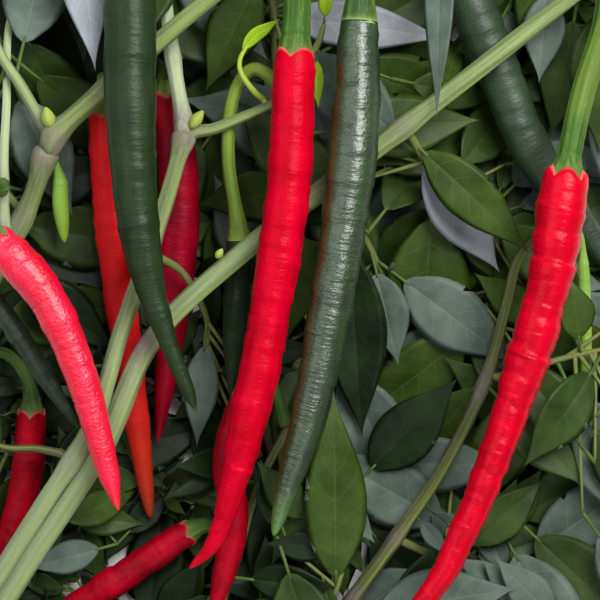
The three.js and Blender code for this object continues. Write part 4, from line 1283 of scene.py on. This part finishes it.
def add_leaf(skin, leaf, upper, lower, index):
    """A blade whose rows run along its side veins, and its petiole."""
    size = float(np.linalg.norm(leaf["tip"] - leaf["root"]))
    base, shift, is_vein = (np.array(column) for column in zip(*ROWS))
    shift = shift * VEIN_WIDTH
    across = np.array(COLUMNS[::-1] + [-c for c in COLUMNS[1:]])  # from the right margin to the left
    wide = np.abs(across)[None]
    rib = base[:, None] + shift[:, None] * (1 - 0.75 * wide)
    slant = 0.8 * wide**1.15 * rib * (1 - rib)
    blade = np.clip(rib + slant, 0, 1)
    petiole = leaf.get("petiole", LEAF["petiole"])
    t = petiole + (1 - petiole) * blade
    point, _, side, up, half = leaf_frames(leaf, t)
    phase = 2.1 * index
    between = np.abs(np.sin(math.pi * (base - FIRST_VEIN) / VEINED * VEINS))[:, None]
    quilt = 0.016 * half * (1 - between) * np.sin(math.pi * np.minimum(1, wide * 1.1)) * -1
    wave = 0.03 * half * wide**2 * np.sin(6.5 * math.pi * blade + phase + np.sign(across)[None])
    curl = 0.05 * half * wide**2 * math.sin(index * 1.7)
    lift = half * wide * LEAF["fold"] + quilt + wave + curl
    middle = point + side * (half * across[None])[..., None] + up * lift[..., None]
    thick = THICK * (1 - 0.85 * wide) * np.minimum(1, half / 1.5)
    ridge = 0.5 * np.exp(-wide * 30) * (1 - blade) + 0.12 * (shift != 0)[:, None] * (1 - wide)
    top = middle + up * thick[..., None] - up * (0.25 * ridge * np.minimum(1, half / 2))[..., None]
    under = middle - up * (thick + ridge * np.minimum(1, half / 2))[..., None]
    rings = np.concatenate([top, under[:, -2:0:-1]], axis=1)
    columns = len(COLUMNS) - 1
    looks = np.empty((len(ROWS) - 1, 4 * columns), int)
    for first, look in ((0, upper), (2 * columns, lower)):
        looks[:, first:first + 2 * columns] = LEAF_LOOKS.index(look)
        vein = LEAF_LOOKS.index(look + "_vein")
        looks[is_vein[:-1], first:first + 2 * columns] = vein
        looks[:, first + columns - 1:first + columns + 1] = vein
    skin.add(rings, rings, None, looks)
    # The petiole
    stations, angle = grid(np.linspace(0, petiole + 0.04, 6), 8)
    point, _, side, up, _ = leaf_frames(leaf, stations)
    radius = np.linspace(0.75, 0.5, 6)[:, None] * min(1, size / 50 + 0.2)
    rings = point + side * (radius * np.cos(angle))[..., None] + up * (radius * np.sin(angle))[..., None]
    skin.add(rings, rings, None, LEAF_LOOKS.index("petiole"))


twigs = Skin()
for number, (name, spray) in enumerate(sprays.items()):
    skin = Skin()
    uppers, turned = SPRAYS[name]["looks"], SPRAYS[name]["turned"]
    for i, leaf in enumerate(spray["leaves"]):
        upper = leaf.get("look", uppers[i // 2 % len(uppers)])
        lower = UNDERSIDES.get(upper, "grey")
        if "look" not in leaf and (i + number) % turned == turned - 1:
            upper, lower = lower, upper
        add_leaf(skin, leaf, upper, lower, i + number)
    skin.build("foliage_" + name.removeprefix("leaves_"), list(LEAVES.values()), [name])
    for twig in spray["twigs"]:
        if twig["until"] < LEAST_TWIG:
            continue
        route, foot = twig["route"], twig["foot"]
        start = 0 if route.root is None else sunk(route)
        end = twig["until"] + 0.6
        distance, angle = grid(np.linspace(start, end, max(6, int(end / 2))), 10)
        share = np.clip(distance / end, 0, 1)
        radius = (foot + (twig["tip"] - foot) * share) * (1 + 0.06 * noise(number, angle, distance / 4))
        radius = radius * np.sqrt(1 - 0.8 * share**12)
        rings = ring_points(route, distance, angle, radius)
        twigs.add(rings, grain_of(distance, angle, radius), [0.1, 0.1, 0.2])

# The curled leaf
route = seated(CURL_POINTS, CURL["on"], CURL["petiole"])
distance, angle = grid(np.linspace(sunk(route), route.length, 40), 12)
rings = ring_points(route, distance, angle, CURL["petiole"] - 0.45 * distance / route.length)
twigs.add(rings, grain_of(distance, angle, 1 + 0 * distance), [0, 0.2, 1])
curl_leaf = {
    "root": np.array(CURL_BLADE[0]), "tip": np.array(CURL_BLADE[-1]), "width": CURL["width"], "bow": 0,
    "roll": 0.5, "route": Route(CURL_BLADE),
}
skin = Skin()
add_leaf(skin, curl_leaf, "young", "young", 1)
skin.build("foliage_young_leaf", list(LEAVES.values()), ["young_leaf"])
twigs.build("twigs", [STEMS["old_stem"]], list(SPRAYS) + ["young_leaf"])


# Stage: floor, light and camera

def metres(point):
    return tuple((np.array(point, float) - MIDDLE) * MM)


corners = [(-FLOOR_HALF, -FLOOR_HALF, 0), (FLOOR_HALF, -FLOOR_HALF, 0),
           (FLOOR_HALF, FLOOR_HALF, 0), (-FLOOR_HALF, FLOOR_HALF, 0)]
floor_mesh = bpy.data.meshes.new("floor")
floor_mesh.from_pydata(corners, [], [(0, 1, 2, 3)])
floor = bpy.data.objects.new("floor", floor_mesh)
bpy.context.scene.collection.objects.link(floor)
floor.location.z = FLOOR_HEIGHT
floor_paint = Paint("floor", 0.7)
cloud = floor_paint.noise(floor_paint.node("ShaderNodeTexCoord").outputs["Object"], 3.0)
floor_mesh.materials.append(floor_paint.finish(floor_paint.ramp(cloud, FLOOR)))

for name, place, size, energy, colour in LIGHTS:
    light = bpy.data.lights.new(name, "AREA")
    light.shape = "SQUARE"
    light.size = size
    light.energy = energy
    light.color = colour
    lamp = bpy.data.objects.new(name, light)
    bpy.context.scene.collection.objects.link(lamp)
    lamp.location = place
    x, y, z = np.array(LIT) - np.array(place)
    lamp.rotation_euler = (math.atan2(math.hypot(x, y), -z), 0, math.atan2(y, x) - math.pi / 2)

world = bpy.data.worlds.new("studio")
world.use_nodes = True
background = world.node_tree.nodes["Background"].inputs
background["Color"].default_value = (0.95, 0.98, 1.0, 1)
background["Strength"].default_value = 0.2
bpy.context.scene.world = world
bpy.context.scene.view_settings.view_transform = "Standard"

camera_data = bpy.data.cameras.new("camera")
camera_data.sensor_width = SENSOR
camera_data.lens = SENSOR * (CAMERA_HEIGHT - POD_HEIGHT) / FRAME_WIDTH
camera_data.clip_start = 0.01
camera = bpy.data.objects.new("camera", camera_data)
bpy.context.scene.collection.objects.link(camera)
camera.location = metres((0, 0, CAMERA_HEIGHT))
bpy.context.scene.camera = camera
